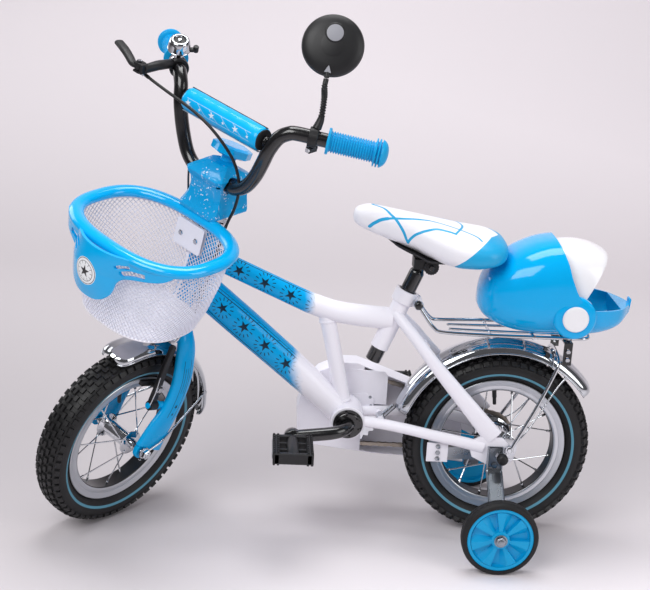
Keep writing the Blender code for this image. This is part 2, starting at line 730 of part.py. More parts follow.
def build_rear_axle():
    hub = REAR_HUB
    face = DROPOUT_Y - DROPOUT_THICK / 2
    inner = face - GAP
    outer = DROPOUT_Y + DROPOUT_THICK / 2 + GAP
    arm = outer + 3 * MM + GAP
    add = [rod(hub - Y_AXIS * 84 * MM, hub + Y_AXIS * 84 * MM, REAR_AXLE_RADIUS, 8)]
    for side, start in ((-1, 50.5 * MM), (1, 49 * MM)):
        add.append(turned([(side * start, 9 * MM), (side * inner, 9 * MM)], hub, steps=8))
        add.append(hexagon(hub, 9 * MM, side * arm, side * (arm + 8 * MM)))
    make("rear_axle", CHROME, add)
    cap = hub - Y_AXIS * (arm + 8 * MM + GAP)
    profile = [(0, 9 * MM), (9 * MM, 9 * MM), (13 * MM, 6 * MM)]
    make("axle_cap_left", BLACK, [turned(profile, cap, -Y_AXIS, 14)],
         [hole(cap + Y_AXIS * MM, cap - Y_AXIS * 10 * MM, REAR_AXLE_RADIUS + GAP)])


def build_coaster_arm():
    hub = REAR_HUB
    low = -49.8 * MM
    high = low + 3 * MM
    bar = prism([(-108, 142), (-108, 160), (-20, 168), (8, 168), (14, 156), (8, 144), (-20, 142)], low, high)
    make("coaster_arm", STEEL, [bar], [hole(hub - Y_AXIS * 60 * MM, hub - Y_AXIS * 30 * MM,
                                           REAR_AXLE_RADIUS + GAP)])
    outer = low - GAP
    plate = prism([(-121, 137), (-121, 170), (-86, 169), (-86, 137)], outer - 2.5 * MM, outer)
    make("coaster_clip", WHITE, [plate])


def small_wheel_shapes(centre, side):
    half = SMALL_WHEEL_WIDTH / 2
    outer = SMALL_HUB_RADIUS
    bore = SMALL_BOLT_RADIUS + RUNNING_GAP
    hub_half = half - 1 * MM
    boss = half + 0.5 * MM
    hub = ring([(-hub_half, bore), (-hub_half, 14 * MM), (-4 * MM, 16 * MM), (-4 * MM, outer - 7 * MM),
                (-hub_half, outer - 5 * MM), (-hub_half, outer), (hub_half, outer),
                (6 * MM, outer - 7 * MM), (6 * MM, 16 * MM), (boss, 12 * MM), (boss, bore)],
               centre, Y_AXIS * side, 16)
    inner = SMALL_HUB_RADIUS + GAP
    full = SMALL_WHEEL_RADIUS
    band = ring([(-half, inner), (-half, full - 3 * MM), (-half + 4 * MM, full), (half - 4 * MM, full),
                 (half, full - 3 * MM), (half, inner)], centre, Y_AXIS * side, 16)
    return hub, band


def build_stabiliser(name, side):
    height = SMALL_WHEEL_RADIUS - LIFT.z
    centre = Vector((SMALL_WHEEL_X, side * SMALL_WHEEL_Y, height))
    hub, band = small_wheel_shapes(centre, side)
    make(name + "_wheel", PLASTIC_BLUE, [hub], origin=centre)
    make(name + "_tyre", RUBBER, [band], origin=centre)
    plate_y = side * (DROPOUT_Y + DROPOUT_THICK / 2 + GAP + 1.5 * MM)
    inside = side * (SMALL_WHEEL_Y - SMALL_WHEEL_WIDTH / 2 - 4 * MM)
    x = SMALL_WHEEL_X + 1 * MM
    bend = side * 3 * MM
    path = [Vector((x, y, z)) for y, z in (
        (plate_y, AXLE_HEIGHT + 16 * MM), (plate_y, AXLE_HEIGHT - 22 * MM),
        (plate_y + bend, AXLE_HEIGHT - 28 * MM), (inside - bend, height + 6.5 * MM),
        (inside, height + 0.5 * MM), (inside, height - 15.5 * MM))]
    width = 13 * MM
    thick = 1.5 * MM
    strap = []
    for point, direction in zip(path, tangents(path)):
        out = direction.cross(X_AXIS) * side
        out.normalize()
        strap.append([point + X_AXIS * width - out * thick, point + X_AXIS * width + out * thick,
                      point - X_AXIS * width + out * thick, point - X_AXIS * width - out * thick])
    bolt_start = Vector((SMALL_WHEEL_X, inside, height))
    bolt_end = centre + Y_AXIS * side * (SMALL_WHEEL_WIDTH / 2 + 3 * MM)
    head = turned([(0, 8.5 * MM), (4 * MM, 8.5 * MM), (6 * MM, 6 * MM)], bolt_end, Y_AXIS * side, 10)
    through = Y_AXIS * 9 * MM
    slot_at = REAR_HUB + Y_AXIS * plate_y
    slot = hole(slot_at - through, slot_at + through, REAR_AXLE_RADIUS + GAP)
    collar_end = centre - Y_AXIS * side * (SMALL_WHEEL_WIDTH / 2 - 1 * MM + GAP)
    make(name + "_bracket", CHROME, [
        loft(strap),
        rod(bolt_start, bolt_end + Y_AXIS * side * MM, SMALL_BOLT_RADIUS, 8),
        rod(bolt_start, collar_end, 9 * MM, 8),
        head,
    ], [slot])


def arc_shell(centre, crown, edge, half_width, thick, start, end, steps):
    """Mudguard: a crowned strip bent round the wheel between two angles."""
    rings = []
    for k in range(steps + 1):
        angle = start + (end - start) * k / steps
        out = Vector((math.cos(angle), 0, math.sin(angle)))
        outer, inner = [], []
        for t in (-1, -0.75, -0.25, 0.25, 0.75, 1):
            radius = edge + (crown - edge) * math.sqrt(max(0.0, 1 - abs(t) ** 2.6))
            outer.append(centre + out * radius + Y_AXIS * half_width * t)
            inner.append(centre + out * (radius - thick) + Y_AXIS * (half_width - thick) * t)
        rings.append(outer + inner[::-1])
    return loft(rings)


def build_rear_mudguard():
    hub = REAR_HUB
    guard = arc_shell(hub, REAR_GUARD_RADIUS, REAR_GUARD_EDGE, GUARD_HALF_WIDTH, GUARD_THICK,
                      math.radians(33), math.radians(163), 13)
    seat_bridge = mm(-128, 0, 314)
    toward = (hub - seat_bridge).normalized()
    strap_length = (hub - seat_bridge).length - REAR_GUARD_RADIUS + 2.66 * MM
    strap = rod(seat_bridge + toward * (BRIDGE_RADIUS + GAP), seat_bridge + toward * strap_length, 7 * MM, 8)
    chain_bridge = mm(-196, 0, 191)
    angle = math.radians(161.86)
    front_end = hub + Vector((math.cos(angle), 0, math.sin(angle))) * (REAR_GUARD_RADIUS - 0.9 * MM)
    toward = (front_end - chain_bridge).normalized()
    lug = rod(chain_bridge + toward * (BRIDGE_RADIUS + GAP), front_end, 5 * MM, 8)
    make("rear_mudguard", CHROME, [guard, strap, lug])


# Saddle

def build_seat_post():
    axis = (SEAT_TUBE_TOP - SEAT_TUBE_FOOT).normalized()
    low = seat_line(-24 * MM)
    high = seat_line(141 * MM)
    neck = seat_line(164 * MM)
    make("seat_post", BLACK, [
        rod(low, high, SEAT_POST_RADIUS, POST_SIDES),
        rod(high - axis * MM, neck, NECK_RADIUS, 10),
    ], [hole(low - axis * MM, low + axis * 100 * MM, SEAT_POST_RADIUS - 2.5 * MM)], origin=low)
    return neck


SADDLE_STATIONS = [  # x, top z, bottom z, half width
    (-262, 540, 527, 9), (-257, 549, 521, 18), (-238, 553.5, 513, 24.5), (-205, 548, 503, 30),
    (-165, 540.5, 490, 41), (-130, 533.5, 477, 56), (-100, 527, 471, 70), (-70, 521.5, 470, 78),
    (-42, 517, 474, 76), (-22, 511, 480, 62), (-13, 503, 487, 40)]
SADDLE_SIDES = 14


def saddle_ring(x, top, bottom, half):
    """Cross-section with a crowned top and sides drawn in to a flat underside."""
    points = []
    middle = bottom + 0.42 * (top - bottom)
    for k in range(SADDLE_SIDES):
        angle = 2 * math.pi * k / SADDLE_SIDES
        c, s = math.cos(angle), math.sin(angle)
        y = half * math.copysign(abs(c) ** 0.8, c)
        if s >= 0:
            z = middle + (top - middle) * s ** 0.9
        else:
            z = middle - (middle - bottom) * abs(s) ** 0.45
            y *= 1 - 0.14 * abs(s)
        points.append(mm(x, y, z))
    return points


def build_saddle(neck):
    rings = [saddle_ring(*station) for station in SADDLE_STATIONS]
    make("saddle", WHITE, [loft(rings)])
    pan = []
    for x, _, bottom, half in SADDLE_STATIONS[4:9]:
        half *= 0.72
        top = bottom - GAP / MM
        pan.append([Vector((x * MM, y * MM, z * MM)) for y, z in
                    ((-half, top - 5), (half, top - 5), (half, top), (-half, top))])
    axis = (SEAT_TUBE_TOP - SEAT_TUBE_FOOT).normalized()
    clamp = neck + axis * -6 * MM
    clamp_y = 17 * MM
    make("saddle_base", BLACK, [
        loft(pan),
        box((clamp.x - 14 * MM, -clamp_y, clamp.z - 8 * MM), (clamp.x + 26 * MM, clamp_y, clamp.z + 11 * MM)),
        rod(Vector((clamp.x + 14 * MM, -clamp_y - 3 * MM, clamp.z - 3 * MM)),
            Vector((clamp.x + 14 * MM, clamp_y + 3 * MM, clamp.z - 3 * MM)), 12 * MM, 14),
    ], [hole(neck - axis * 40 * MM, neck + axis * GAP, NECK_RADIUS + GAP)])


# Carrier and box

def build_carrier(ear):
    wires = []
    for side in (-1, 1):
        eye = ear + Y_AXIS * side * 19 * MM
        path = [eye, mm(-138, 24 * side, 379), mm(-122, 30 * side, 360), mm(-106, 35 * side, 355),
                mm(-40, 42 * side, 355), mm(118, 42 * side, 355)]
        wires.append(tube(path, RACK_WIRE, 5, guide=Z_AXIS))
        wires.append(rod(eye - Y_AXIS * 3 * MM, eye + Y_AXIS * 3 * MM, 8 * MM, 8))
    back = [mm(x, y, 355) for x, y in
            ((114, -42), (126, -39), (131, -28), (132, 0), (131, 28), (126, 39), (114, 42))]
    wires.append(tube(back, RACK_WIRE, 5, guide=Z_AXIS))
    for x in (-30, 40, 96):
        wires.append(rod(mm(x, -42, CROSS_WIRE_Z), mm(x, 42, CROSS_WIRE_Z), CROSS_WIRE * MM, 6))
    holes = [hole(ear - Y_AXIS * 40 * MM, ear + Y_AXIS * 40 * MM, 3 * MM + GAP, 8)]
    make("carrier_rack", CHROME, wires, holes)
    top = 350.5 * MM - GAP
    y = 50.5 * MM
    plate = []
    for side in (-1, 1):
        plate.append(box((88 * MM, side * y - 1.5 * MM, 312 * MM), (102 * MM, side * y + 1.5 * MM, top)))
    cross = box((88 * MM, -y - 1.5 * MM, top - 3 * MM), (102 * MM, y + 1.5 * MM, top))
    slots = [box((93 * MM, -60 * MM, z * MM), (97 * MM, 60 * MM, (z + 8) * MM)) for z in (318, 332)]
    make("carrier_bracket", BLACK, plate + [cross], slots)


def build_carrier_stay():
    """Wire hoop over the rear mudguard down to an eye on each dropout."""
    outer = DROPOUT_Y + DROPOUT_THICK / 2 + GAP
    wire_y = outer / MM + 3
    angle = math.radians(63)
    reach = REAR_GUARD_RADIUS + RACK_WIRE + GAP
    crossing = REAR_HUB + Vector((math.cos(angle), 0, math.sin(angle))) * reach
    half = [mm(15, wire_y, 172), mm(50, 58, 236), crossing + mm(-8, 47, -29.9), crossing + mm(-1, 42, -10.9),
            crossing + mm(-1, 22, -1), crossing]
    path = smooth([mirrored(p) for p in half] + half[-2::-1], 2)
    eye = mm(12, 0, 168)
    eyes = [rod(eye + Y_AXIS * side * outer, eye + Y_AXIS * side * (outer + 2 * RACK_WIRE), 7 * MM, 8)
            for side in (-1, 1)]
    make("carrier_stay", CHROME, [bent_bar(path, RACK_WIRE, 6)] + eyes)


BOX_STATIONS = [  # x, top z, bottom z, half width
    (-52, 422, 398, 12), (-46, 443, 386, 34), (-32, 465, 375, 55), (-5, 488, 364, 71), (32, 507, 358.5, 80),
    (66, 515, 358.5, 82.5), (98, 514.5, 358.5, 83), (140, 490, 361, 74), (174, 450, 372, 52),
    (197, 408, 391, 13)]


def shell_ring(x, top, bottom, half, wall):
    middle = (top + bottom) / 2
    height = (top - bottom) / 2 - wall
    width = half - wall
    points = []
    for k in range(BOX_SIDES):
        angle = 2 * math.pi * k / BOX_SIDES
        c, s = math.cos(angle), math.sin(angle)
        power = 0.74
        points.append(Vector((x * MM, width * MM * math.copysign(abs(c) ** power, c),
                              (middle + height * math.copysign(abs(s) ** power, s)) * MM)))
    return points


def build_box():
    wall = BOX_WALL / MM
    outer = loft([shell_ring(*station, 0) for station in BOX_STATIONS])
    inside = [list(station) for station in BOX_STATIONS[1:-1]]
    inside[0][0] += wall
    inner = loft([shell_ring(*station, wall) for station in inside])
    face = [(64, 600), (64, 516), (71, 501), (77, 487), (82, 467), (97, 444), (118, 437), (204, 402),
            (300, 402), (300, 600)]
    pivot = BOX_PIVOT
    boss = [turned([(side * 74 * MM, 22 * MM), (side * BOSS_FACE, 22 * MM)], pivot, steps=12)
            for side in (-1, 1)]
    hook = prism([(192, 394), (199, 394), (201, 414), (197, 416), (196, 402), (192, 402)], -7 * MM, 7 * MM)
    pins = hole(pivot - Y_AXIS * 100 * MM, pivot + Y_AXIS * 100 * MM, 4 * MM + RUNNING_GAP)
    foot = box((34 * MM, -26 * MM, (CROSS_WIRE_Z + CROSS_WIRE) * MM + GAP), (102 * MM, 26 * MM, 366 * MM))
    make("box_shell", PLASTIC_BLUE, [outer, foot] + boss + [hook],
         [inner, prism(face, -150 * MM, 150 * MM), pins])


def visor_radius(y):
    share = min(1.0, abs(y) / VISOR_HALF_WIDTH)
    return VISOR_RADIUS * (1 - share ** 2.6) ** (1 / 2.6)


def build_visor():
    pivot = BOX_PIVOT
    wall = 2.5 * MM
    places = [0.0, 0.5, 0.84, 0.975]
    ys = [-p * VISOR_HALF_WIDTH for p in reversed(places)] + [p * VISOR_HALF_WIDTH for p in places[1:]]
    steps = 6
    rings = []
    for k in range(steps + 1):
        angle = VISOR_LOW_ANGLE + VISOR_SPAN * k / steps
        out = Vector((math.cos(angle), 0, math.sin(angle)))
        line = [(y, visor_radius(y)) for y in ys]
        line = [(-VISOR_HALF_WIDTH, 4 * MM)] + line + [(VISOR_HALF_WIDTH, 4 * MM)]
        outer = [pivot + out * r + Y_AXIS * y for y, r in line]
        shrink = (VISOR_HALF_WIDTH - wall) / VISOR_HALF_WIDTH
        inner = [pivot + out * max(r - wall, 3 * MM) + Y_AXIS * y * shrink for y, r in line]
        rings.append(outer + inner[::-1])
    add = [loft(rings)]
    for side in (-1, 1):
        edge = VISOR_HALF_WIDTH
        add.append(turned([(side * (edge - 3 * MM), 7 * MM), (side * edge, 7 * MM)], pivot, steps=8))
        add.append(turned([(side * (edge - 1 * MM), 4 * MM), (side * 85 * MM, 4 * MM)], pivot, steps=8))
        face = BOSS_FACE + GAP
        add.append(turned([(side * face, 19.5 * MM), (side * (face + 2.5 * MM), 19.5 * MM),
                           (side * (face + 4.5 * MM), 17 * MM)], pivot, steps=12))
    make("box_visor", WHITE, add, origin=pivot)


# Steered pieces

def build_fork(steering):
    axle = steering.axle
    half = [mm(-546, 31, 343), mm(-550, 41, 326), mm(-554, 47.5, 292), mm(-560, 51, 258), mm(-579, 54, 216),
            mm(-602, 54, 184), axle + mm(17, 54, -1)]
    steerer_top = on_axis(HEAD_TUBE_HIGH + LOCKNUT_HEIGHT - 1 * MM)
    add = [rod(on_axis(CROWN_HEIGHT + 3 * MM), steerer_top, STEERER_RADIUS, 14)]
    crown = on_axis(CROWN_HEIGHT)
    add.append(tube([crown - Y_AXIS * 33 * MM, crown + Y_AXIS * 33 * MM], CROWN_RADIUS, 12, guide=AXIS,
                    flat=17 * MM))
    add.append(rod(crown, on_axis(HEAD_TUBE_LOW - HEADSET_HEIGHT - 2 * GAP), STEERER_RADIUS + 3.3 * MM, 15))
    for side in (-1, 1):
        path = [p if side > 0 else mirrored(p) for p in half]
        flat = [15 * MM, 19 * MM, 20 * MM, 20 * MM, 21 * MM, 26 * MM, 31 * MM]
        add.append(tube(path, spread([9 * MM, 9 * MM, 8.5 * MM, 8 * MM], len(path)), 9,
                        flat=spread(flat, len(path))))
        end = axle + Y_AXIS * side * 54 * MM
        add.append(turned([(-4 * MM, 13 * MM), (4 * MM, 13 * MM)], end, steps=14))
        pivot = brake_pivot(side)
        seat = pivot + BRAKE_AXIS * (BRAKE_BOSS_HALF + GAP)
        add.append(rod(mm(-574, 53 * side, 223), seat + BRAKE_AXIS * 3 * MM, 6 * MM, 7))
        add.append(rod(seat, seat + BRAKE_AXIS * 5 * MM, 7.5 * MM, 10))
        add.append(rod(seat + BRAKE_AXIS * 2 * MM, pivot - BRAKE_AXIS * (BRAKE_BOSS_HALF + 2 * MM),
                       BRAKE_PIN_RADIUS, 9))
    cut = [
        hole(axle - Y_AXIS * 80 * MM, axle + Y_AXIS * 80 * MM, FRONT_AXLE_RADIUS + GAP, 10),
        hole(on_axis(470 * MM), on_axis(600 * MM), QUILL_RADIUS + GAP, 14),
    ]
    make("fork", PAINT_BLUE, add, cut, origin=steering.origin, parent=steering.empty)


def brake_pivot(side):
    return mm(-613, 45 * side, 232)


def build_brake_arm(name, side, steering):
    """Brake arm that swings in to the rim, from its pivot up to the cable end, with its pad."""
    pivot = brake_pivot(side)
    outline = [(-7, -3), (-7, 8), (-6, 90), (-6, 108), (6, 108), (6, 90), (7, 8), (7, -3)]
    bar = loft([[Vector((pivot.x, side * y * MM, pivot.z)) + BRAKE_AXIS * (wide * MM) + BRAKE_UP * (high * MM)
                 for wide, high in outline] for y in (38.5, 46.5)])
    spot = steering.axle + BRAKE_UP * 108.4 * MM
    rings = []
    for y in (19.2, 28):
        rings.append([spot + Y_AXIS * side * y * MM + BRAKE_AXIS * a * MM + BRAKE_UP * b * MM
                      for a, b in ((-22, -4.4), (22, -4.4), (22, 4.4), (-22, 4.4))])
    stud = rod(spot + Y_AXIS * side * 26 * MM, spot + Y_AXIS * side * 40 * MM, 4 * MM, 8)
    barrel = rod(pivot - BRAKE_AXIS * BRAKE_BOSS_HALF, pivot + BRAKE_AXIS * BRAKE_BOSS_HALF, 8 * MM, 9)
    bore = hole(pivot - BRAKE_AXIS * 30 * MM, pivot + BRAKE_AXIS * 30 * MM, BRAKE_PIN_RADIUS + RUNNING_GAP)
    make(name, BLACK, [bar, loft(rings), stud, barrel], [bore], origin=pivot, parent=steering.empty)


def build_front_wheel(steering, rim, tyre):
    axle = steering.axle
    shapes = hub_shapes(axle, 13 * MM, 21 * MM, 29 * MM, -43 * MM, 43 * MM, 8 * MM,
                        FRONT_AXLE_RADIUS + RUNNING_GAP)
    make("front_hub", STEEL, shapes, origin=axle, parent=steering.empty)
    copy_of(rim, "front_rim", axle, steering.empty)
    copy_of(tyre, "front_tyre", axle, steering.empty)
    face = 62.8 * MM
    add = [rod(axle - Y_AXIS * 74 * MM, axle + Y_AXIS * 74 * MM, FRONT_AXLE_RADIUS, 10)]
    for side in (-1, 1):
        add.append(turned([(side * 43.3 * MM, 7 * MM), (side * 45.6 * MM, 7 * MM)], axle, steps=8))
        plate = face + 2.4 * MM + GAP
        add.append(hexagon(axle, 8.5 * MM, side * plate, side * (plate + 7 * MM)))
    make("front_axle", CHROME, add, origin=axle, parent=steering.empty)
    return face


def build_front_mudguard(steering, face):
    axle = steering.axle
    guard = arc_shell(axle, FRONT_GUARD_RADIUS, FRONT_GUARD_EDGE, GUARD_HALF_WIDTH, GUARD_THICK,
                      math.radians(-6), math.radians(103), 11)
    low_crown = on_axis(CROWN_HEIGHT - CROWN_RADIUS - GAP)
    tab_length = (low_crown - axle).length - FRONT_GUARD_RADIUS + TAB_REACH
    tab = rod(low_crown, low_crown - AXIS * tab_length, 7 * MM, 8)
    add = [guard, tab]
    stay_way = Vector((math.cos(STAY_ANGLE), 0, math.sin(STAY_ANGLE)))
    reach = FRONT_GUARD_EDGE + 0.78 * MM
    knee_out = 101.9 * MM - 0.4 * reach  # a shorter stay bends further out, past the fork leg
    for side in (-1, 1):
        start = axle + stay_way * reach + Y_AXIS * side * (GUARD_HALF_WIDTH - 0.7 * MM)
        knee = axle + Vector((knee_out, side * (face + 2.3 * MM), 9 * MM))
        end = axle + mm(8.8, 0, 2) + Y_AXIS * side * (face + 2.2 * MM)
        add.append(tube([start, knee, end], 1.9 * MM, 5, guide=Z_AXIS))
        add.append(turned([(side * face, 10 * MM), (side * (face + 2.4 * MM), 10 * MM)], axle, steps=8))
    bore = hole(axle - Y_AXIS * 90 * MM, axle + Y_AXIS * 90 * MM, FRONT_AXLE_RADIUS + GAP, 8)
    make("front_mudguard", CHROME, add, [bore], origin=steering.origin, parent=steering.empty)


def build_stem(steering):
    top = on_axis(HEAD_TUBE_HIGH + GAP + LOCKNUT_HEIGHT + GAP)
    post_top = on_axis(600 * MM)
    add = [
        rod(on_axis(480 * MM), top + AXIS * MM, QUILL_RADIUS, 12),
        rod(top, post_top, POST_RADIUS, 12),
        tube([post_top - AXIS * 8 * MM, BAR_CENTRE], 12 * MM, 10),
        rod(BAR_CENTRE - Y_AXIS * 20 * MM, BAR_CENTRE + Y_AXIS * 20 * MM, BAR_RADIUS + 6 * MM, 14),
    ]
    bore = hole(BAR_CENTRE - Y_AXIS * 40 * MM, BAR_CENTRE + Y_AXIS * 40 * MM, BAR_RADIUS + GAP)
    make("stem", CHROME, add, [bore], origin=steering.origin, parent=steering.empty)


COVER_OUTLINE = [(-490, 540), (-447, 562), (-449, 606), (-484, 623), (-512, 615), (-529, 592), (-528, 556)]


def build_stem_cover(steering):
    inside = shrunk(COVER_OUTLINE, 2.6)
    inside = [(x, z - 40) if z < 570 else (x, z) for x, z in inside]
    bar_hole = hole(BAR_CENTRE - Y_AXIS * 60 * MM, BAR_CENTRE + Y_AXIS * 60 * MM, BAR_RADIUS + GAP)
    foot = mm(-474, 0, 614)
    neck = foot + AXIS * 24 * MM
    make("stem_cover", COVER_BLUE, [
        prism(COVER_OUTLINE, -37 * MM, 37 * MM),
        rod(foot, neck + AXIS * MM, 12 * MM, 12),
        turned([(0, 22 * MM), (3 * MM, 27 * MM), (11 * MM, 27 * MM), (14 * MM, 22 * MM)], neck, AXIS, 8),
    ], [prism(inside, -34.4 * MM, 34.4 * MM), bar_hole], origin=steering.origin, parent=steering.empty)


def grip_direction(side):
    flat = math.cos(GRIP_DROP)
    return Vector((flat * math.sin(GRIP_SWEEP), side * flat * math.cos(GRIP_SWEEP), -math.sin(GRIP_DROP)))


def build_handlebar(steering):
    half = [mm(*p) for p in BAR_HALF] + [GRIP_START + grip_direction(1) * (GRIP_LENGTH - 2 * MM)]
    path = [mirrored(p) for p in reversed(half)] + half
    cross = Vector((-491 * MM, CROSSBAR_HALF, CROSSBAR_Z))
    make("handlebar", BLACK, [
        bent_bar(path, BAR_RADIUS, 8),
        rod(mirrored(cross), cross, CROSSBAR_RADIUS, 8),
    ], origin=steering.origin, parent=steering.empty)
    middle = Vector((cross.x, 0, CROSSBAR_Z))
    bore = CROSSBAR_RADIUS + GAP
    long = PAD_HALF_LENGTH
    profile = [(-long, bore), (-long, 0.86 * PAD_RADIUS), (-0.96 * long, 0.97 * PAD_RADIUS),
               (-0.5 * long, PAD_RADIUS), (0.5 * long, PAD_RADIUS), (0.96 * long, 0.97 * PAD_RADIUS),
               (long, 0.86 * PAD_RADIUS), (long, bore)]
    make("handlebar_pad", PLASTIC_BLUE, [ring(profile, middle, steps=14)],
         origin=middle, parent=steering.empty)


def build_grip(name, side, steering):
    start = Vector((GRIP_START.x, side * GRIP_START.y, GRIP_START.z))
    axis = grip_direction(side)
    body = BAR_RADIUS + 4.4 * MM
    stations = [(0, 20 * MM), (4 * MM, 20 * MM), (4.5 * MM, body), (74 * MM, body), (77 * MM, 21.5 * MM),
                (81 * MM, 21.5 * MM), (88 * MM, 17 * MM), (92.5 * MM, 5 * MM)]
    bore = hole(start - axis * 5 * MM, start + axis * (GRIP_LENGTH - 1 * MM), BAR_RADIUS + GAP)
    make(name, PLASTIC_BLUE, [turned(stations, start, axis, 11)], [bore],
         origin=steering.origin, parent=steering.empty)


def bar_point(y):
    """Point of the bar centre line and its direction at a side distance in millimetres."""
    side = 1 if y > 0 else -1
    ys = [p[1] for p in BAR_HALF]
    spot = [float(np.interp(abs(y), ys, [p[i] for p in BAR_HALF])) for i in (0, 2)]
    near = [float(np.interp(abs(y) - 4, ys, [p[i] for p in BAR_HALF])) for i in (0, 2)]
    far = [float(np.interp(abs(y) + 4, ys, [p[i] for p in BAR_HALF])) for i in (0, 2)]
    direction = Vector((far[0] - near[0], 8 * side, far[1] - near[1])).normalized()
    return mm(spot[0], y, spot[1]), direction


def brake_lever_pivot():
    return mm(-548, 141, 734)


def cable_start():
    """Outer end of the brake cable at the lever, and the way it leaves."""
    start = mm(*CABLE_POINTS[0])
    return start, (mm(*CABLE_POINTS[1]) - start).normalized()


def build_brake_perch(steering):
    spot, direction = bar_point(134)
    pivot = brake_lever_pivot()
    forward = Z_AXIS.cross(direction)
    start, leaving = cable_start()
    grip_room = BAR_RADIUS + CLAMP_GAP
    body = [spot + forward * 12 * MM + mm(0, 0, 6), mm(-502, 134, 732), mm(-520, 130, 735),
            pivot + mm(8, -11, 0), pivot + mm(0, -11, 0)]

    def plate(half, low_y, high_y, low_z, high_z):
        low = pivot + mm(-half, low_y, low_z)
        return box(low, pivot + mm(half, high_y, high_z))

    make("brake_perch", BLACK, [
        collar(spot, direction, grip_room, grip_room + 4 * MM, -5 * MM, 5 * MM, 10),
        tube(body, 6 * MM, 6, guide=Z_AXIS, flat=spread([6 * MM, 8 * MM, 3.5 * MM], len(body))),
        plate(6.5, -14, -7.5, -7.6, 7.6),
        plate(7, -9, 6, 4.5, 8),
        plate(7, -9, 6, -8, -4.5),
        rod(pivot - Z_AXIS * 7 * MM, pivot + Z_AXIS * 7 * MM, 3 * MM, 8),
        rod(start - leaving * 9 * MM, start - leaving * GAP, 4.5 * MM, 6),
    ], [hole(spot - direction * 20 * MM, spot + direction * 20 * MM, grip_room)],
        origin=steering.origin, parent=steering.empty)


def build_brake_lever(steering):
    pivot = brake_lever_pivot()
    blade = [pivot + mm(0, 4, 0), pivot + mm(0, 14, 0), mm(-544, 168, 738), mm(-539, 186, 743),
             mm(-532, 210, 746)]
    make("brake_lever", BLACK, [
        rod(pivot - Z_AXIS * 4 * MM, pivot + Z_AXIS * 4 * MM, 6.5 * MM, 12),
        tube(blade, spread([5 * MM, 6 * MM, 7 * MM, 7 * MM], len(blade)), 8, guide=X_AXIS, flat=3.2 * MM),
    ], [hole(pivot - Z_AXIS * 9 * MM, pivot + Z_AXIS * 9 * MM, 3 * MM + GAP, 8)],
        origin=pivot, parent=steering.empty)


CABLE_POINTS = [(-539.3, 135, 721.6), (-529, 110, 709), (-521, 85, 702), (-518, 62, 694), (-521, 35, 674),
                (-512, 5, 652), (-498, -22, 640), (-485, -45, 622), (-480.5, -49, 598), (-484, -48, 568),
                (-494, -47, 538), (-511, -46, 490), (-530, -46, 435), (-550, -47, 385), (-566, -47, 360),
                (-573, -46, 352)]


def build_brake_cable(steering):
    path = smooth([mm(*p) for p in CABLE_POINTS], 2)
    make("brake_cable", BLACK, [bent_bar(path, 2.5 * MM, 5)], origin=steering.origin, parent=steering.empty)
    end = mm(*CABLE_POINTS[-1])
    toward = (end - mm(*CABLE_POINTS[-2])).normalized()
    pipe = smooth([end + toward * CLAMP_GAP, end + toward * 8 * MM, mm(-582, -38, 339.5),
                   mm(-583, -15, 339.5)], 2)
    wire = rod(mm(-583, -17, 339.5), mm(-583, 43, 339.5), 1.2 * MM, 6)
    pinch = rod(mm(-583, 40, 339.5), mm(-583, 46, 339.5), 3 * MM, 8)
    make("brake_noodle", CHROME, [bent_bar(pipe, 2.4 * MM, 8), wire, pinch],
         origin=steering.origin, parent=steering.empty)


def build_bell(steering):
    spot, direction = bar_point(150)
    grip_room = BAR_RADIUS + CLAMP_GAP
    axis = Vector((-0.22, -0.2, 0.95)).normalized()
    foot = spot + axis * (grip_room + 2 * MM)
    seat = spot + axis * (BAR_RADIUS + 20.9 * MM)
    make("bell", CHROME, [
        collar(spot, direction, grip_room, grip_room + 3 * MM, -5 * MM, 5 * MM, 10),
        rod(foot, seat, 7 * MM, 8),
        turned([(0, 8 * MM), (0.5 * MM, 18 * MM), (8 * MM, 18 * MM), (13 * MM, 14 * MM), (17 * MM, 5 * MM)],
               seat - axis * MM, axis, 12),
    ], [hole(spot - direction * 30 * MM, spot + direction * 30 * MM, grip_room)],
        origin=steering.origin, parent=steering.empty)
    low = seat - axis * 7 * MM
    tip = low + Vector((20 * MM, -17 * MM, 5 * MM))
    make("bell_lever", BLACK, [
        collar(low, axis, 7 * MM + RUNNING_GAP, 10 * MM, -2 * MM, 2 * MM, 10),
        tube([low + (tip - low).normalized() * 9 * MM, tip], 3 * MM, 6, guide=Z_AXIS, flat=5 * MM),
        rod(tip - axis * 4 * MM, tip + axis * 7 * MM, 4.5 * MM, 8),
    ], origin=low, parent=steering.empty)


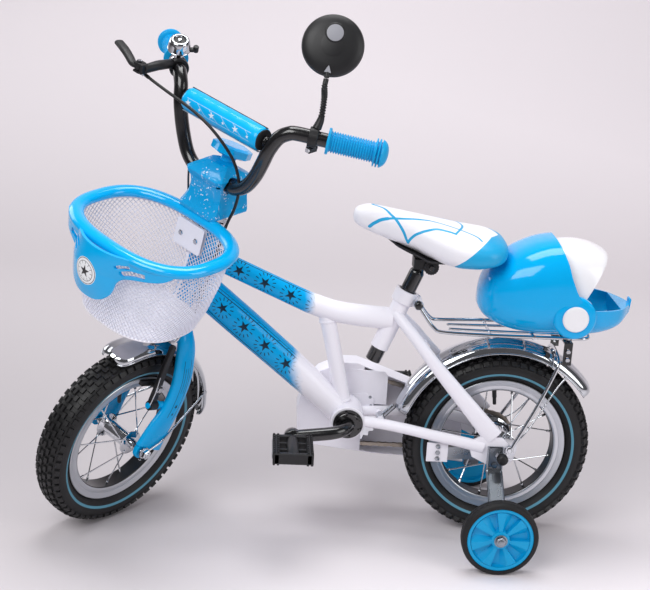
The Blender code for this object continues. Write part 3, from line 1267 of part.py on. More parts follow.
def build_mirror(steering):
    spot, direction = bar_point(-149)
    grip_room = BAR_RADIUS + CLAMP_GAP
    back = Vector((-0.693, -0.518, 0.501)).normalized()
    rise = (Z_AXIS - back * back.z).normalized()
    centre = mm(-427, -129, 853)
    radius = 46 * MM
    joint = centre - rise * (radius + 3 * MM) + back * MM
    bolt_drop = Z_AXIS * (BAR_RADIUS + 7.9 * MM)
    ribs = [spot + mm(4, 0, 13), mm(-447, -148, 750), mm(-446, -146, 780), joint - rise * 14 * MM,
            joint - rise * 0.7 * MM]
    make("mirror_arm", BLACK, [
        collar(spot, direction, grip_room, grip_room + 4 * MM, -7 * MM, 7 * MM, 10),
        rod(spot - X_AXIS * 8 * MM - bolt_drop, spot + X_AXIS * 9 * MM - bolt_drop, 5 * MM, 8),
        tube(ribs, spread([7 * MM, 4.5 * MM, 4 * MM, 4 * MM], len(ribs)), 6, guide=X_AXIS),
    ], [hole(spot - direction * 30 * MM, spot + direction * 30 * MM, grip_room)],
        origin=spot, parent=steering.empty)
    recess = radius - 3 * MM
    make("mirror_housing", BLACK, [
        turned([(-9 * MM, radius - 1.5 * MM), (-7 * MM, radius), (-1 * MM, 0.97 * radius),
                (4 * MM, 0.75 * radius), (6.5 * MM, 0.35 * radius)], centre, back, 16),
        rod(joint, joint + rise * 9 * MM, 4 * MM, 8),
    ], [turned([(-12 * MM, recess), (-6.5 * MM, recess)], centre, back, 16)],
        origin=joint, parent=steering.empty)
    make("mirror_glass", CHROME, [
        turned([(-8.6 * MM, recess - 2 * GAP), (-6.5 * MM - GAP, recess - 2 * GAP)], centre, back, 16),
    ], origin=joint, parent=steering.empty)


# Basket

def oval(centre, depth, width, z, count, power=2.6):
    """Rounded oblong outline at one height."""
    points = []
    for k in range(count):
        angle = 2 * math.pi * k / count
        c, s = math.cos(angle), math.sin(angle)
        points.append(Vector((centre.x + depth * math.copysign(abs(c) ** (2 / power), c),
                              centre.y + width * math.copysign(abs(s) ** (2 / power), s), z)))
    return points


def badge_shape():
    """Convex lobe hanging from the front of the rim."""
    rows = [(538, 66), (527, 66), (513, 57), (497, 49), (462, 46), (444, 35), (432, 12)]
    columns = np.linspace(-1, 1, 7)
    fronts, backs = [], []
    for z, half in rows:
        fall = (538 - z) / 106
        for layer, offset in ((fronts, 0.0), (backs, 5.0)):
            line = []
            for t in columns:
                y = t * half
                share = min(1.0, abs(y) * MM / BASKET_RIM_WIDTH)
                face = -613.5 - 100 * (1 - share ** 2.6) ** (1 / 2.6)
                bulge = 17 * (1 - t * t) * math.sin(math.pi * min(1.0, 0.25 + 0.5 * fall))
                line.append(mm(face - bulge + offset, y, z))
            layer.append(line)
    return loft([front + back[::-1] for front, back in zip(fronts, backs)])


def build_basket(steering):
    count = 18
    centre = BASKET_CENTRE
    r = BASKET_RIM_RADIUS
    line = oval(centre, BASKET_RIM_DEPTH - r, BASKET_RIM_WIDTH - r, centre.z, count)
    rings = []
    for point, tangent in zip(line, tangents(line, closed=True)):
        out = tangent.cross(Z_AXIS)
        rings.append(circle(point, out, Z_AXIS, r, 9 * MM, 6, math.pi / 6))
    make("basket_rim", PLASTIC_BLUE, [loft(rings, closed=True), badge_shape()],
         origin=steering.origin, parent=steering.empty)
    stations = [(386, -622, 66, 82), (392, -622, 74, 90), (426, -617, 79, 104), (476, -615, 85, 119),
                ((centre.z - 9 * MM - GAP) / MM, -613.5, 90, 128)]
    outer = [oval(mm(x, 0, 0), d * MM, w * MM, z * MM, count) for z, x, d, w in stations]
    inner = []
    for z, x, d, w in stations:
        rise = 2.5 if z == stations[0][0] else 5 if z == stations[-1][0] else 0
        inner.append(oval(mm(x, 0, 0), (d - 2) * MM, (w - 2) * MM, (z + rise) * MM, count))
    make("basket", WHITE, [loft(outer)], [loft(inner)], origin=steering.origin, parent=steering.empty)


def build_basket_bracket(steering):
    """Strap from the stem post to the back of the basket, and the wire up to the bar."""
    ring_at = on_axis(HEAD_TUBE_HIGH + LOCKNUT_HEIGHT + 3 * GAP)
    strap = [mm(x, 0, z) for x, z in ((-488, 533.5), (-502, 538), (-507.5, 531), (-509.5, 520), (-514, 511),
                                      (-524.5, 501))]
    face = [Vector((x * MM + GAP, 0, z * MM)) for z, x in ((522, -523.8), (476, -529.9))]
    plate = loft([[p + mm(dx, y, 0) for dx, y in ((0, -28), (3, -28), (3, 28), (0, 28))] for p in face])
    wire_end = BAR_CENTRE + Vector((-BAR_RADIUS - 2.4 * MM, 45 * MM, 1 * MM))
    wire = smooth([mm(-523, 27, 515), mm(-508, 36, 522), mm(-505, 42, 545), wire_end + mm(2.5, 0, -22),
                   wire_end], 2)
    make("basket_bracket", BLACK, [
        collar(ring_at, AXIS, POST_RADIUS + GAP, POST_RADIUS + 4.5 * MM, 0, 8 * MM, 10),
        tube(strap, 15 * MM, 6, flat=1.8 * MM),
        plate,
        tube(wire, 1.7 * MM, 5, guide=X_AXIS),
    ], [hole(ring_at - AXIS * 9 * MM, ring_at + AXIS * 20 * MM, POST_RADIUS + GAP)],
        origin=steering.origin, parent=steering.empty)


def main():
    clear_scene()
    steering = Steering()
    build_frame()
    build_headset()
    ear = build_seat_clamp()
    build_bracket_cup()
    build_crank()
    build_pedals()
    build_chain_wheels()
    build_chain()
    build_chain_case()
    _, rim, tyre = build_rear_wheel()
    build_rear_axle()
    build_coaster_arm()
    build_stabiliser("stabiliser_left", -1)
    build_stabiliser("stabiliser_right", 1)
    build_rear_mudguard()
    neck = build_seat_post()
    build_saddle(neck)
    build_carrier(ear)
    build_carrier_stay()
    build_box()
    build_visor()
    build_fork(steering)
    build_brake_arm("brake_arm_left", -1, steering)
    build_brake_arm("brake_arm_right", 1, steering)
    face = build_front_wheel(steering, rim, tyre)
    build_front_mudguard(steering, face)
    build_stem(steering)
    build_stem_cover(steering)
    build_handlebar(steering)
    build_grip("grip_left", -1, steering)
    build_grip("grip_right", 1, steering)
    build_brake_perch(steering)
    build_brake_lever(steering)
    build_brake_cable(steering)
    build_bell(steering)
    build_mirror(steering)
    build_basket(steering)
    build_basket_bracket(steering)


main()
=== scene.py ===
import json
import math

import bmesh
import bpy
import numpy as np
from mathutils import Matrix


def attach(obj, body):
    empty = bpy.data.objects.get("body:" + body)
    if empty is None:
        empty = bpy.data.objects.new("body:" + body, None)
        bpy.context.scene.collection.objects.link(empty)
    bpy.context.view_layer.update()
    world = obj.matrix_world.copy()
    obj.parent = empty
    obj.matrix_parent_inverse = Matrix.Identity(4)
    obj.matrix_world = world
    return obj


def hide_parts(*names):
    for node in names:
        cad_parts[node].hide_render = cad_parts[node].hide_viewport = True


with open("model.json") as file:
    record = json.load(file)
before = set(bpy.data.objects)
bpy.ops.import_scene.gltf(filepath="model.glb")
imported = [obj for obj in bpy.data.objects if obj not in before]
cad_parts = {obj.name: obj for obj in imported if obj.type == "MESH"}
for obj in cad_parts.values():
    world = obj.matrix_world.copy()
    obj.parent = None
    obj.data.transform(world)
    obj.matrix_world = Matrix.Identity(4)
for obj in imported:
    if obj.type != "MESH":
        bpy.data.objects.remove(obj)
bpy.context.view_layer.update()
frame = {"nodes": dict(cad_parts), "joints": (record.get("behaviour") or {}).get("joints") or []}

print("frame loaded with", len(frame["nodes"]), "nodes")

mm = 0.001  # sizes below are in millimetres, and meshes in metres
xWay, yWay, zWay = np.eye(3)
bothSides = nearSide, farSide = -1, 1
joints = {joint["name"]: joint for joint in frame["joints"]}


def unit(v):
    v = np.asarray(v, float)
    return v / np.maximum(np.linalg.norm(v, axis=-1, keepdims=True), 1e-12)


def spin(axis, angle):
    # turning about k by a: cos a I + sin a [k]x + (1 - cos a) k k
    k = unit(axis)
    c, s = math.cos(angle), math.sin(angle)
    cross = np.array([[0, -k[2], k[1]], [k[2], 0, -k[0]], [-k[1], k[0], 0]])
    return c * np.eye(3) + s * cross + (1 - c) * np.outer(k, k)


def jointPoint(name):
    return np.array(joints[name]["pos_m"]) / mm


# Steered pieces are drawn with the bars straight ahead, then turned with the bars
steering = {"point": jointPoint("steering"), "axis": unit(joints["steering"]["axis"]), "turnDegrees": 49.2}
steeredBodies = ("steered", "front_wheel", "left_brake", "right_brake", "hand_lever", "bell_striker",
                 "mirror")
steerTurn = spin(steering["axis"], math.radians(steering["turnDegrees"]))
steerAxis = steering["axis"]
headForward = np.cross(yWay, steerAxis)  # square to the steering axis, straight ahead or straight back

# Places that several pieces share
seatFoot, seatTop = np.array([-206, 0, 314.0]), np.array([-166, 0, 412.0])
seatWay = unit(seatTop - seatFoot)
bracketCentre = np.array([-252, 0, 191.0])
rearHub = np.array([0, 0, 156.0])


def withBars(points):
    return steering["point"] + (points - steering["point"]) @ steerTurn.T


def straightAhead(points):
    return steering["point"] + (points - steering["point"]) @ steerTurn


def onHead(height):
    # the point of the steering axis whose distance from the floor, along the axis, is the height
    foot = steering["point"] - steerAxis * (steering["point"][2] / steerAxis[2])
    return foot + steerAxis * height


def mirrored(points):
    return np.asarray(points, float) * [1, -1, 1]


# Curves

def runOf(line):
    # the length of a path up to each of its points
    return np.append(0, np.cumsum(np.linalg.norm(np.diff(line, axis=0), axis=1)))


def evened(line, places, run):
    return np.stack([np.interp(places, run, line[:, k]) for k in range(line.shape[1])], 1)


def wholeTurn(count):
    return np.linspace(0, 2 * np.pi, count, endpoint=False)


def around(angle, side, up):
    return np.outer(np.cos(angle), side) + np.outer(np.sin(angle), up)


def squarish(angle, power):
    # cosine and sine; a power under 1 draws their circle towards a square
    return (np.sign(f) * np.abs(f) ** power for f in (np.cos(angle), np.sin(angle)))


def curve(points, count=24, loop=False):
    # Catmull-Rom: between two points, the cubic of the four nearest, read again at equal lengths
    p = np.array(points, float)
    p = np.vstack([p[-1:], p, p[:2]]) if loop else np.vstack([2 * p[0] - p[1], p, 2 * p[-1] - p[-2]])
    spans = len(p) - 3
    u = np.linspace(0, spans, 14 * spans + 1)
    i = np.minimum(u.astype(int), spans - 1)
    t = (u - i)[:, None]
    a, b, c, d = (p[i + k] for k in range(4))
    line = 0.5 * (2 * b + (c - a) * t + (2 * a - 5 * b + 4 * c - d) * t**2 + (3 * b - a - 3 * c + d) * t**3)
    run = runOf(line[:, :3])
    return evened(line, np.linspace(0, run[-1], count + 1 if loop else count)[:count], run)


def rounded(points, reach, steps=7):
    # each corner P gives way to P + (1 - t)^2 (towards the last) + t^2 (towards the next)
    p = np.array(points, float)
    t = np.linspace(0, 1, steps)[None, :, None]
    before = unit(p[:-2] - p[1:-1])[:, None] * reach
    after = unit(p[2:] - p[1:-1])[:, None] * reach
    bends = p[1:-1, None] + before * (1 - t) ** 2 + after * t**2
    return np.vstack([p[:1], bends.reshape(-1, p.shape[1]), p[-1:]])


def tangentFrames(path, guide, loop=False):
    # the path's direction, the guide squared to it, and their cross product
    along = unit(np.roll(path, -1, 0) - np.roll(path, 1, 0) if loop else np.gradient(path, axis=0))
    guide = np.broadcast_to(guide, along.shape)
    side = unit(guide - along * (guide * along).sum(1, keepdims=True))
    return along, side, np.cross(along, side)


def rightAngles(axis):
    side = unit(np.cross(axis, zWay if abs(axis[2]) < 0.9 else xWay))
    return side, np.cross(axis, side)


# Shells are closed meshes: their points, and faces that point outwards

def weld(points, quads):
    # joins points that coincide, and turns quads that lose a corner into triangles
    keys = np.round(points * 1e4).astype(np.int64)
    _, first, index = np.unique(keys, axis=0, return_index=True, return_inverse=True)
    quads = index.reshape(-1)[quads]
    same = quads == np.roll(quads, -1, axis=1)
    whole, bent = quads[~same.any(1)], same.sum(1) == 1
    triangles = quads[bent][~same[bent]].reshape(-1, 3)
    return points[first], [tuple(f) for f in whole.tolist() + triangles.tolist()]


def outward(points, faces):
    # the sum of p0 . (p1 x p2) over the faces' triangles is six times the volume
    corners = [(f[0], f[k], f[k + 1]) for f in faces for k in range(1, len(f) - 1)]
    a, b, c = (points[np.array(corners)[:, k]] for k in range(3))
    if np.einsum("ij,ij->i", a, np.cross(b, c)).sum() < 0:
        faces = [f[::-1] for f in faces]
    return points, faces


def skin(rows, loop=False, ends="fan"):
    # quads between neighbouring rows of points; each row closes on itself, and the ends are closed
    # by a fan about their middle, or by a strip across
    rows = np.asarray(rows, float)
    if not loop and ends == "fan":
        middles = rows.mean(1, keepdims=True).repeat(rows.shape[1], 1)
        rows = np.concatenate([middles[:1], rows, middles[-1:]])
    count, wide = rows.shape[:2]
    r = np.arange(count if loop else count - 1)[:, None]
    c = np.arange(wide)[None]
    r, nextRow = r * wide, (r + 1) % count * wide
    nextColumn = (c + 1) % wide
    quads = np.stack([r + c, r + nextColumn, nextRow + nextColumn, nextRow + c], -1).reshape(-1, 4)
    if not loop and ends == "strip":
        k = np.arange(wide // 2 - 1)
        lid = np.stack([k, k + 1, wide - 2 - k, wide - 1 - k], -1)
        quads = np.concatenate([quads, lid[:, ::-1], lid + (count - 1) * wide])
    return outward(*weld(rows.reshape(-1, 3), quads))


def bar(path, wide, tall=None, sides=16, guide=yWay, loop=False, nose=0.0, power=1.0):
    # an ellipse (wide cos^p, tall sin^p) carried square to a path; a nose rounds its ends
    path = np.array(path, float)

    def spread(value):
        return np.interp(np.linspace(0, 1, len(path)), np.linspace(0, 1, np.size(value)), np.ravel(value))

    shape = np.column_stack([path, spread(wide), spread(wide if tall is None else tall)])
    if nose:
        run = runOf(path)
        bend = nose * (1 - np.cos(np.linspace(0, np.pi / 2, 6)))
        places = np.unique(np.concatenate([bend, run[(run > nose) & (run < run[-1] - nose)], run[-1] - bend]))
        shape = evened(shape, places, run)
        share = np.clip(np.minimum(places, run[-1] - places) / nose, 0, 1)
        shape[:, 3:] *= np.maximum(np.sqrt(1 - (1 - share) ** 2), 0.35)[:, None]
    path, wide, tall = shape[:, :3], shape[:, 3:4], shape[:, 4:]
    _, side, up = tangentFrames(path, guide, loop)
    c, s = squarish(wholeTurn(sides), power)
    rows = path[:, None] + side[:, None] * (wide * c)[..., None] + up[:, None] * (tall * s)[..., None]
    return skin(rows, loop)


def rod(start, end, radius, sides=16, nose=0.0):
    start, end = np.array(start, float), np.array(end, float)
    guide = rightAngles(unit(end - start))[0]
    return bar([start, (start + end) / 2, end], radius, sides=sides, nose=nose, guide=guide)


def lathe(profile, centre=(0, 0, 0), axis=yWay, steps=40):
    # stations of distance along the axis and radius, carried round it; flat or pointed ends close it
    out = around(wholeTurn(steps), *rightAngles(axis))
    profile = np.array(profile, float)
    return skin(centre + profile[:, None, :1] * np.asarray(axis) + profile[:, None, 1:] * out)


def hoop(outline, centre=(0, 0, 0), axis=yWay, steps=72):
    # a closed outline of distance along the axis and radius, carried round the axis
    out = around(wholeTurn(steps), *rightAngles(axis))
    outline = np.array(outline, float)
    return skin(centre + outline[None, :, :1] * np.asarray(axis) + outline[None, :, 1:] * out[:, None],
                loop=True)


def tube(start, end, inner, outer, steps=40, edge=0.6):
    # a round sleeve whose outer edges are cut back
    length = np.linalg.norm(np.subtract(end, start))
    outline = [(0, inner), (0, outer - edge), (edge, outer), (length - edge, outer), (length, outer - edge),
               (length, inner)]
    return hoop(outline, start, unit(np.subtract(end, start)), steps)


def swept(path, section, guide=xWay):
    # an outline of (side, up) distances carried square to a path
    _, side, up = tangentFrames(path, guide)
    section = np.array(section, float)[None]
    return skin(path[:, None] + side[:, None] * section[..., :1] + up[:, None] * section[..., 1:])


def inset(outline, by):
    # every corner moves in along the bisector of its two sides
    a, b = unit(outline - np.roll(outline, 1, 0)), unit(np.roll(outline, -1, 0) - outline)
    x, z = outline.T
    way = np.sign((np.roll(x, 1) * z - x * np.roll(z, 1)).sum())
    normals = unit(way * np.stack([-(a + b)[:, 1], (a + b)[:, 0]], 1))
    square = way * np.stack([-a[:, 1], a[:, 0]], 1)
    return outline + normals * (by / np.maximum(0.45, (normals * square).sum(1)))[:, None]


def plate(outline, low, high, edge=0.8, origin=(0, 0, 0), ways=(xWay, zWay, yWay)):
    # an outline in two directions drawn out along the third, with its edges cut back
    outline = np.array(outline, float)
    small = inset(outline, edge)
    layers = [(small, low), (outline, low + edge), (outline, high - edge), (small, high)]
    points = np.concatenate([np.column_stack([shape, np.full(len(shape), depth)]) for shape, depth in layers])
    n = len(outline)
    faces = [(k + i, k + (i + 1) % n, k + n + (i + 1) % n, k + n + i) for k in (0, n, 2 * n)
             for i in range(n)]
    faces += [tuple(reversed(range(n))), tuple(range(3 * n, 4 * n))]
    return outward(origin + points @ np.array(ways), faces)


def hexNut(centre, axis, radius, low, high, turn=0.0):
    corners = around(np.radians(np.arange(6) * 60 + turn), (radius, 0), (0, radius))
    return plate(corners, low, high, min(1.1, (high - low) / 4), centre, (*rightAngles(axis), axis))


def block(low, high, edge=0.8):
    (x0, y0, z0), (x1, y1, z1) = low, high
    return plate([(x0, z0), (x1, z0), (x1, z1), (x0, z1)], y0, y1, edge)


def scatter(shell, origins, ways):
    # copies of a small shell, each put at its origin with its own three directions
    points, faces = shell
    placed = np.asarray(origins)[:, None] + np.einsum("pk,nkj->npj", points, np.asarray(ways))
    if np.linalg.det(ways[0]) < 0:
        faces = [f[::-1] for f in faces]
    return placed.reshape(-1, 3), [tuple(k * len(points) + i for i in f) for k in range(len(placed))
                                   for f in faces]


def knob(length, width, height, taper=0.8):
    # a small block standing on its base, narrower at the top
    corners = [(-1, -1), (1, -1), (1, 1), (-1, 1)]
    rows = [(u * length / 2 * k, v * width / 2 * k, h) for k, h in ((1, 0), (taper, height))
            for u, v in corners]
    faces = [(0, 3, 2, 1), (4, 5, 6, 7)] + [(i, (i + 1) % 4, 4 + (i + 1) % 4, 4 + i) for i in range(4)]
    return outward(np.array(rows, float), faces)


def joined(shells):
    starts = np.cumsum([0] + [len(points) for points, _ in shells]).tolist()
    faces = [tuple(start + i for i in f) for start, (_, part) in zip(starts, shells) for f in part]
    return np.concatenate([points for points, _ in shells]), faces


# Pieces

def added(name, data):
    item = bpy.data.objects.new(name, data)
    bpy.context.scene.collection.objects.link(item)
    return item


def meshOf(name, points, faces):
    mesh = bpy.data.meshes.new(name)
    mesh.vertices.add(len(points))
    mesh.vertices.foreach_set("co", (np.asarray(points) * mm).astype(np.float32).ravel())
    sizes = np.array([len(f) for f in faces])
    mesh.loops.add(int(sizes.sum()))
    mesh.loops.foreach_set("vertex_index", np.concatenate([np.array(f, np.int32) for f in faces]))
    mesh.polygons.add(len(faces))
    mesh.polygons.foreach_set("loop_start", np.append(0, np.cumsum(sizes)[:-1]).astype(np.int32))
    mesh.update(calc_edges=True)
    mesh.validate()
    return mesh


def pointsOf(mesh):
    flat = np.empty(len(mesh.vertices) * 3, np.float32)
    mesh.vertices.foreach_get("co", flat)
    return flat.reshape(-1, 3).astype(float) / mm


def modified(piece):
    return bpy.data.meshes.new_from_object(piece.evaluated_get(bpy.context.evaluated_depsgraph_get()))


def swollen(shell, voxel, cap, force=4.0, levels=1):
    # a padded form as cloth over its filling: an even mesh, twenty frames under pressure, then a limit on
    # how far a point has moved, and a subdivision
    piece = added("padding", meshOf("padding", *shell))
    even = piece.modifiers.new("even", "REMESH")
    even.mode = "VOXEL"
    even.voxel_size = voxel * mm
    piece.data = modified(piece)
    piece.modifiers.clear()
    start = pointsOf(piece.data)
    cloth = piece.modifiers.new("cloth", "CLOTH")
    cloth.settings.use_pressure = True
    cloth.settings.uniform_pressure_force = force
    cloth.settings.effector_weights.gravity = 0
    for frameNumber in range(1, 21):
        bpy.context.scene.frame_set(frameNumber)
    ready = piece.evaluated_get(bpy.context.evaluated_depsgraph_get())
    moved = pointsOf(ready.data) - start
    length = np.linalg.norm(moved, axis=1, keepdims=True)
    moved = moved * np.minimum(1, cap / np.maximum(length, 1e-9))
    piece.modifiers.clear()
    bpy.context.scene.frame_set(1)
    piece.data.vertices.foreach_set("co", ((start + moved) * mm).astype(np.float32).ravel())
    kept = np.linalg.norm(moved, axis=1)
    print("cloth moved", round(float(length.mean()), 2), "kept", round(float(kept.mean()), 2))
    finer = piece.modifiers.new("finer", "SUBSURF")
    finer.levels = finer.render_levels = levels
    done = modified(piece)
    corners, sizes = np.empty(len(done.loops), np.int32), np.empty(len(done.polygons), np.int32)
    done.loops.foreach_get("vertex_index", corners)
    done.polygons.foreach_get("loop_total", sizes)
    bpy.data.objects.remove(piece)
    return pointsOf(done), [tuple(face) for face in np.split(corners, np.cumsum(sizes)[:-1])]


def finishPiece(piece, body, paint, stands, sharp):
    piece.data.materials.clear()
    piece.data.materials.append(paint.material)
    piece.data.shade_smooth()
    piece.data.set_sharp_from_angle(angle=math.radians(sharp))
    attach(piece, body)
    if stands:
        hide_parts(*stands)
    return piece


def make(name, body, paint, shells, stands=(), place=None, sharp=38):
    # one object from its shells; place gives each point's coordinates for the material
    points, faces = joined(shells)
    local = points if place is None else place(points)
    if body in steeredBodies:
        points = withBars(points)
    mesh = meshOf(name, points, faces)
    places = mesh.attributes.new("place", "FLOAT_VECTOR", "POINT")
    places.data.foreach_set("vector", local.astype(np.float32).ravel())
    return finishPiece(added(name, mesh), body, paint, stands, sharp)


def edged(name, node, body, paint, width=0.6):
    # the solid of a CAD node, its flat faces made whole and its edges rounded
    mesh = frame["nodes"][node].data.copy()
    edit = bmesh.new()
    edit.from_mesh(mesh)
    bmesh.ops.remove_doubles(edit, verts=edit.verts, dist=0.02 * mm)
    bmesh.ops.dissolve_limit(edit, angle_limit=math.radians(1), verts=edit.verts, edges=edit.edges)
    edit.to_mesh(mesh)
    edit.free()
    piece = finishPiece(added(name, mesh), body, paint, [node], 38)
    rounding = piece.modifiers.new("rounding", "BEVEL")
    rounding.width = width * mm
    rounding.segments = 2
    rounding.limit_method = "ANGLE"
    rounding.angle_limit = math.radians(30)


def carved(*shells):
    # the first shell with the others cut out of it
    made = [added("carving", meshOf("carving", *shell)) for shell in shells]
    for cutter in made[1:]:
        cut = made[0].modifiers.new("cut", "BOOLEAN")
        cut.operation = "DIFFERENCE"
        cut.object = cutter
    result = modified(made[0])
    for tool in made:
        bpy.data.objects.remove(tool, do_unlink=True)
    return pointsOf(result), [tuple(f.vertices) for f in result.polygons]


# Materials

def colour(code):
    # sRGB to linear light
    channels = [int(code[i:i + 2], 16) / 255 for i in (1, 3, 5)]
    return [c / 12.92 if c <= 0.04045 else ((c + 0.055) / 1.055) ** 2.4 for c in channels] + [1.0]


class Flow:
    # a socket whose sums and products add Math nodes
    def __init__(self, paint, socket):
        self.paint = paint
        self.socket = socket

    def __abs__(self):
        return self.paint.math("ABSOLUTE", self)


for sign, operation in (("add", "ADD"), ("sub", "SUBTRACT"), ("mul", "MULTIPLY"), ("truediv", "DIVIDE"),
                        ("mod", "FLOORED_MODULO")):
    setattr(Flow, f"__{sign}__", lambda flow, other, kind=operation: flow.paint.math(kind, flow, other))
    setattr(Flow, f"__r{sign}__", lambda flow, other, kind=operation: flow.paint.math(kind, other, flow))


class Paint:
    # one material, built as a chain of nodes that ends in its Principled shader
    def __init__(self, name, base, roughness, metallic=0.0, coat=0.0, specular=0.5):
        self.material = bpy.data.materials.new(name)
        self.material.use_nodes = True
        self.tree = self.material.node_tree
        self.shader = self.tree.nodes["Principled BSDF"]
        self.base = colour(base)
        for socket, value in (("Base Color", self.base), ("Roughness", roughness), ("Metallic", metallic),
                              ("Coat Weight", coat), ("Coat Roughness", 0.05),
                              ("Specular IOR Level", specular)):
            self.set(socket, value)

    def feed(self, socket, value):
        if isinstance(value, Flow):
            self.tree.links.new(value.socket, socket)
        else:
            socket.default_value = value

    def set(self, socket, value):
        self.feed(self.shader.inputs[socket], value)

    def node(self, kind, settings=None, inputs=None, output=0):
        made = self.tree.nodes.new("ShaderNode" + kind)
        for key, value in (settings or {}).items():
            setattr(made, key, value)
        for key, value in (inputs or {}).items():
            self.feed(made.inputs[key], value)
        return Flow(self, made.outputs[output])

    def math(self, operation, a, b=0.0):
        return self.node("Math", {"operation": operation}, {0: a, 1: b})

    def most(self, first, *others):
        for other in others:
            first = self.math("MAXIMUM", first, other)
        return first

    def polar(self, u, v):
        # distance from the middle, and angle in radians
        return self.math("SQRT", u * u + v * v), self.math("ARCTAN2", v, u)

    def step(self, value, low, high):
        # 0 below low, 1 above high, smooth between
        return self.node("MapRange", {"interpolation_type": "SMOOTHSTEP"},
                         {"Value": value, "From Min": low, "From Max": high})

    def within(self, value, low, high, soft=0.25):
        return self.step(value, low - soft, low + soft) * (1 - self.step(value, high - soft, high + soft))

    def under(self, value, high, soft):
        # 1 where a value that is never negative stays under high
        return self.within(value, -1, high, soft)

    def mix(self, factor, a, b):
        return self.node("Mix", {"data_type": "RGBA"}, {0: factor, 6: a, 7: b}, 2)

    def tint(self, factor, code):
        # lays a second colour over the base
        self.set("Base Color", self.mix(factor, self.base, colour(code)))

    def point(self, source):
        # the piece's own place attribute, or object coordinates with the scale that gives millimetres
        if source == "object":
            return self.node("TexCoord", output="Object"), 1 / mm
        return self.node("Attribute", {"attribute_name": source}, output="Vector"), 1.0

    def axes(self, source="object"):
        point, scale = self.point(source)
        if scale != 1.0:
            point = self.node("VectorMath", {"operation": "SCALE"}, {0: point, "Scale": scale})
        split = self.tree.nodes.new("ShaderNodeSeparateXYZ")
        self.feed(split.inputs[0], point)
        return [Flow(self, output) for output in split.outputs]

    def noise(self, size, detail=2.0, source="object", stretch=(1, 1, 1)):
        # cloudy values near 0.5, whose blots are about the size in millimetres
        point, scale = self.point(source)
        point = self.node("Mapping", inputs={"Vector": point, "Scale": [k * scale / size for k in stretch]})
        return self.node("TexNoise", inputs={"Vector": point, "Scale": 1.0, "Detail": detail})

    def bump(self, height, distance, strength=1.0):
        # height 0 to 1 raises the surface by the distance in millimetres
        self.set("Normal", self.node("Bump", inputs={"Height": height, "Distance": distance * mm,
                                                     "Strength": strength}))


def moulded(name, base, roughness, coat=0.0, grain=0.35, depth=0.05, specular=0.5, source="object"):
    # plastic, paint or rubber: slight clouds in its colour and gloss, and a fine grain
    paint = Paint(name, base, roughness, coat=coat, specular=specular)
    clouds = paint.noise(34, 3, source)
    darker = [c * 0.9 for c in paint.base[:3]] + [1]
    paint.set("Base Color", paint.mix(clouds, paint.base, darker))
    paint.set("Roughness", roughness * 0.85 + clouds * roughness * 0.3)
    paint.bump(paint.noise(grain, 2, source), depth, 0.5)
    return paint


def plated(name, base, roughness):
    # bright metal with faint smears
    paint = Paint(name, base, roughness, metallic=1.0)
    smears = paint.noise(18, 4)
    paint.set("Roughness", roughness * 0.6 + smears * roughness * 0.8)
    darker = [c * 0.82 for c in paint.base[:3]] + [1]
    paint.set("Base Color", paint.mix(smears, paint.base, darker))
    paint.bump(paint.noise(6), 0.02, 0.35)
    return paint


print("kit ready")


# Studio

studio = {"backdrop": "#F7F1F5", "size": 9.0, "bendStart": 1.6, "bendRadius": 1.2, "height": 5.0,
          "worldColour": "#F1EEF2", "worldPower": 0.38, "mirrored": 0.13}
# each lamp: where it stands, what it aims at, its two sizes in metres and its power
lamps = {"keyLight": ((-1.6, -1.9, 2.3), (-0.3, 0, 0.4), (1.8, 1.4), 46.0),
         "fillLight": ((2.2, -1.8, 1.5), (-0.2, 0, 0.4), (1.6, 1.8), 26.0),
         "topLight": ((-0.3, 0.3, 2.9), (-0.3, 0, 0.3), (1.7, 1.2), 42.0),
         "rimLight": ((-2.4, 1.5, 1.6), (-0.4, 0, 0.4), (1.4, 1.6), 16.0)}
camera = {"place": (-0.4220, -2.1912, 1.0384), "right": (0.9977, -0.0398, 0.0548),
          "up": (-0.0414, 0.2820, 0.9585), "lens": 78.11}
# painted light and shading on the paper: its lowest brightness, and what it gains up the wall, in a painted
# patch of light near the camera and for each millimetre to the right
paper = {"lowest": 0.59, "foot": 0.13, "wall": 0.27, "paintedLightPool": 0.29, "right": 0.00009}


def mixedShaders(tree, factor, first, second, output):
    mixed = tree.nodes.new("ShaderNodeMixShader")
    for socket, source in zip(mixed.inputs, (factor, first, second)):
        tree.links.new(source, socket)
    tree.links.new(mixed.outputs[0], tree.nodes[output].inputs["Surface"])


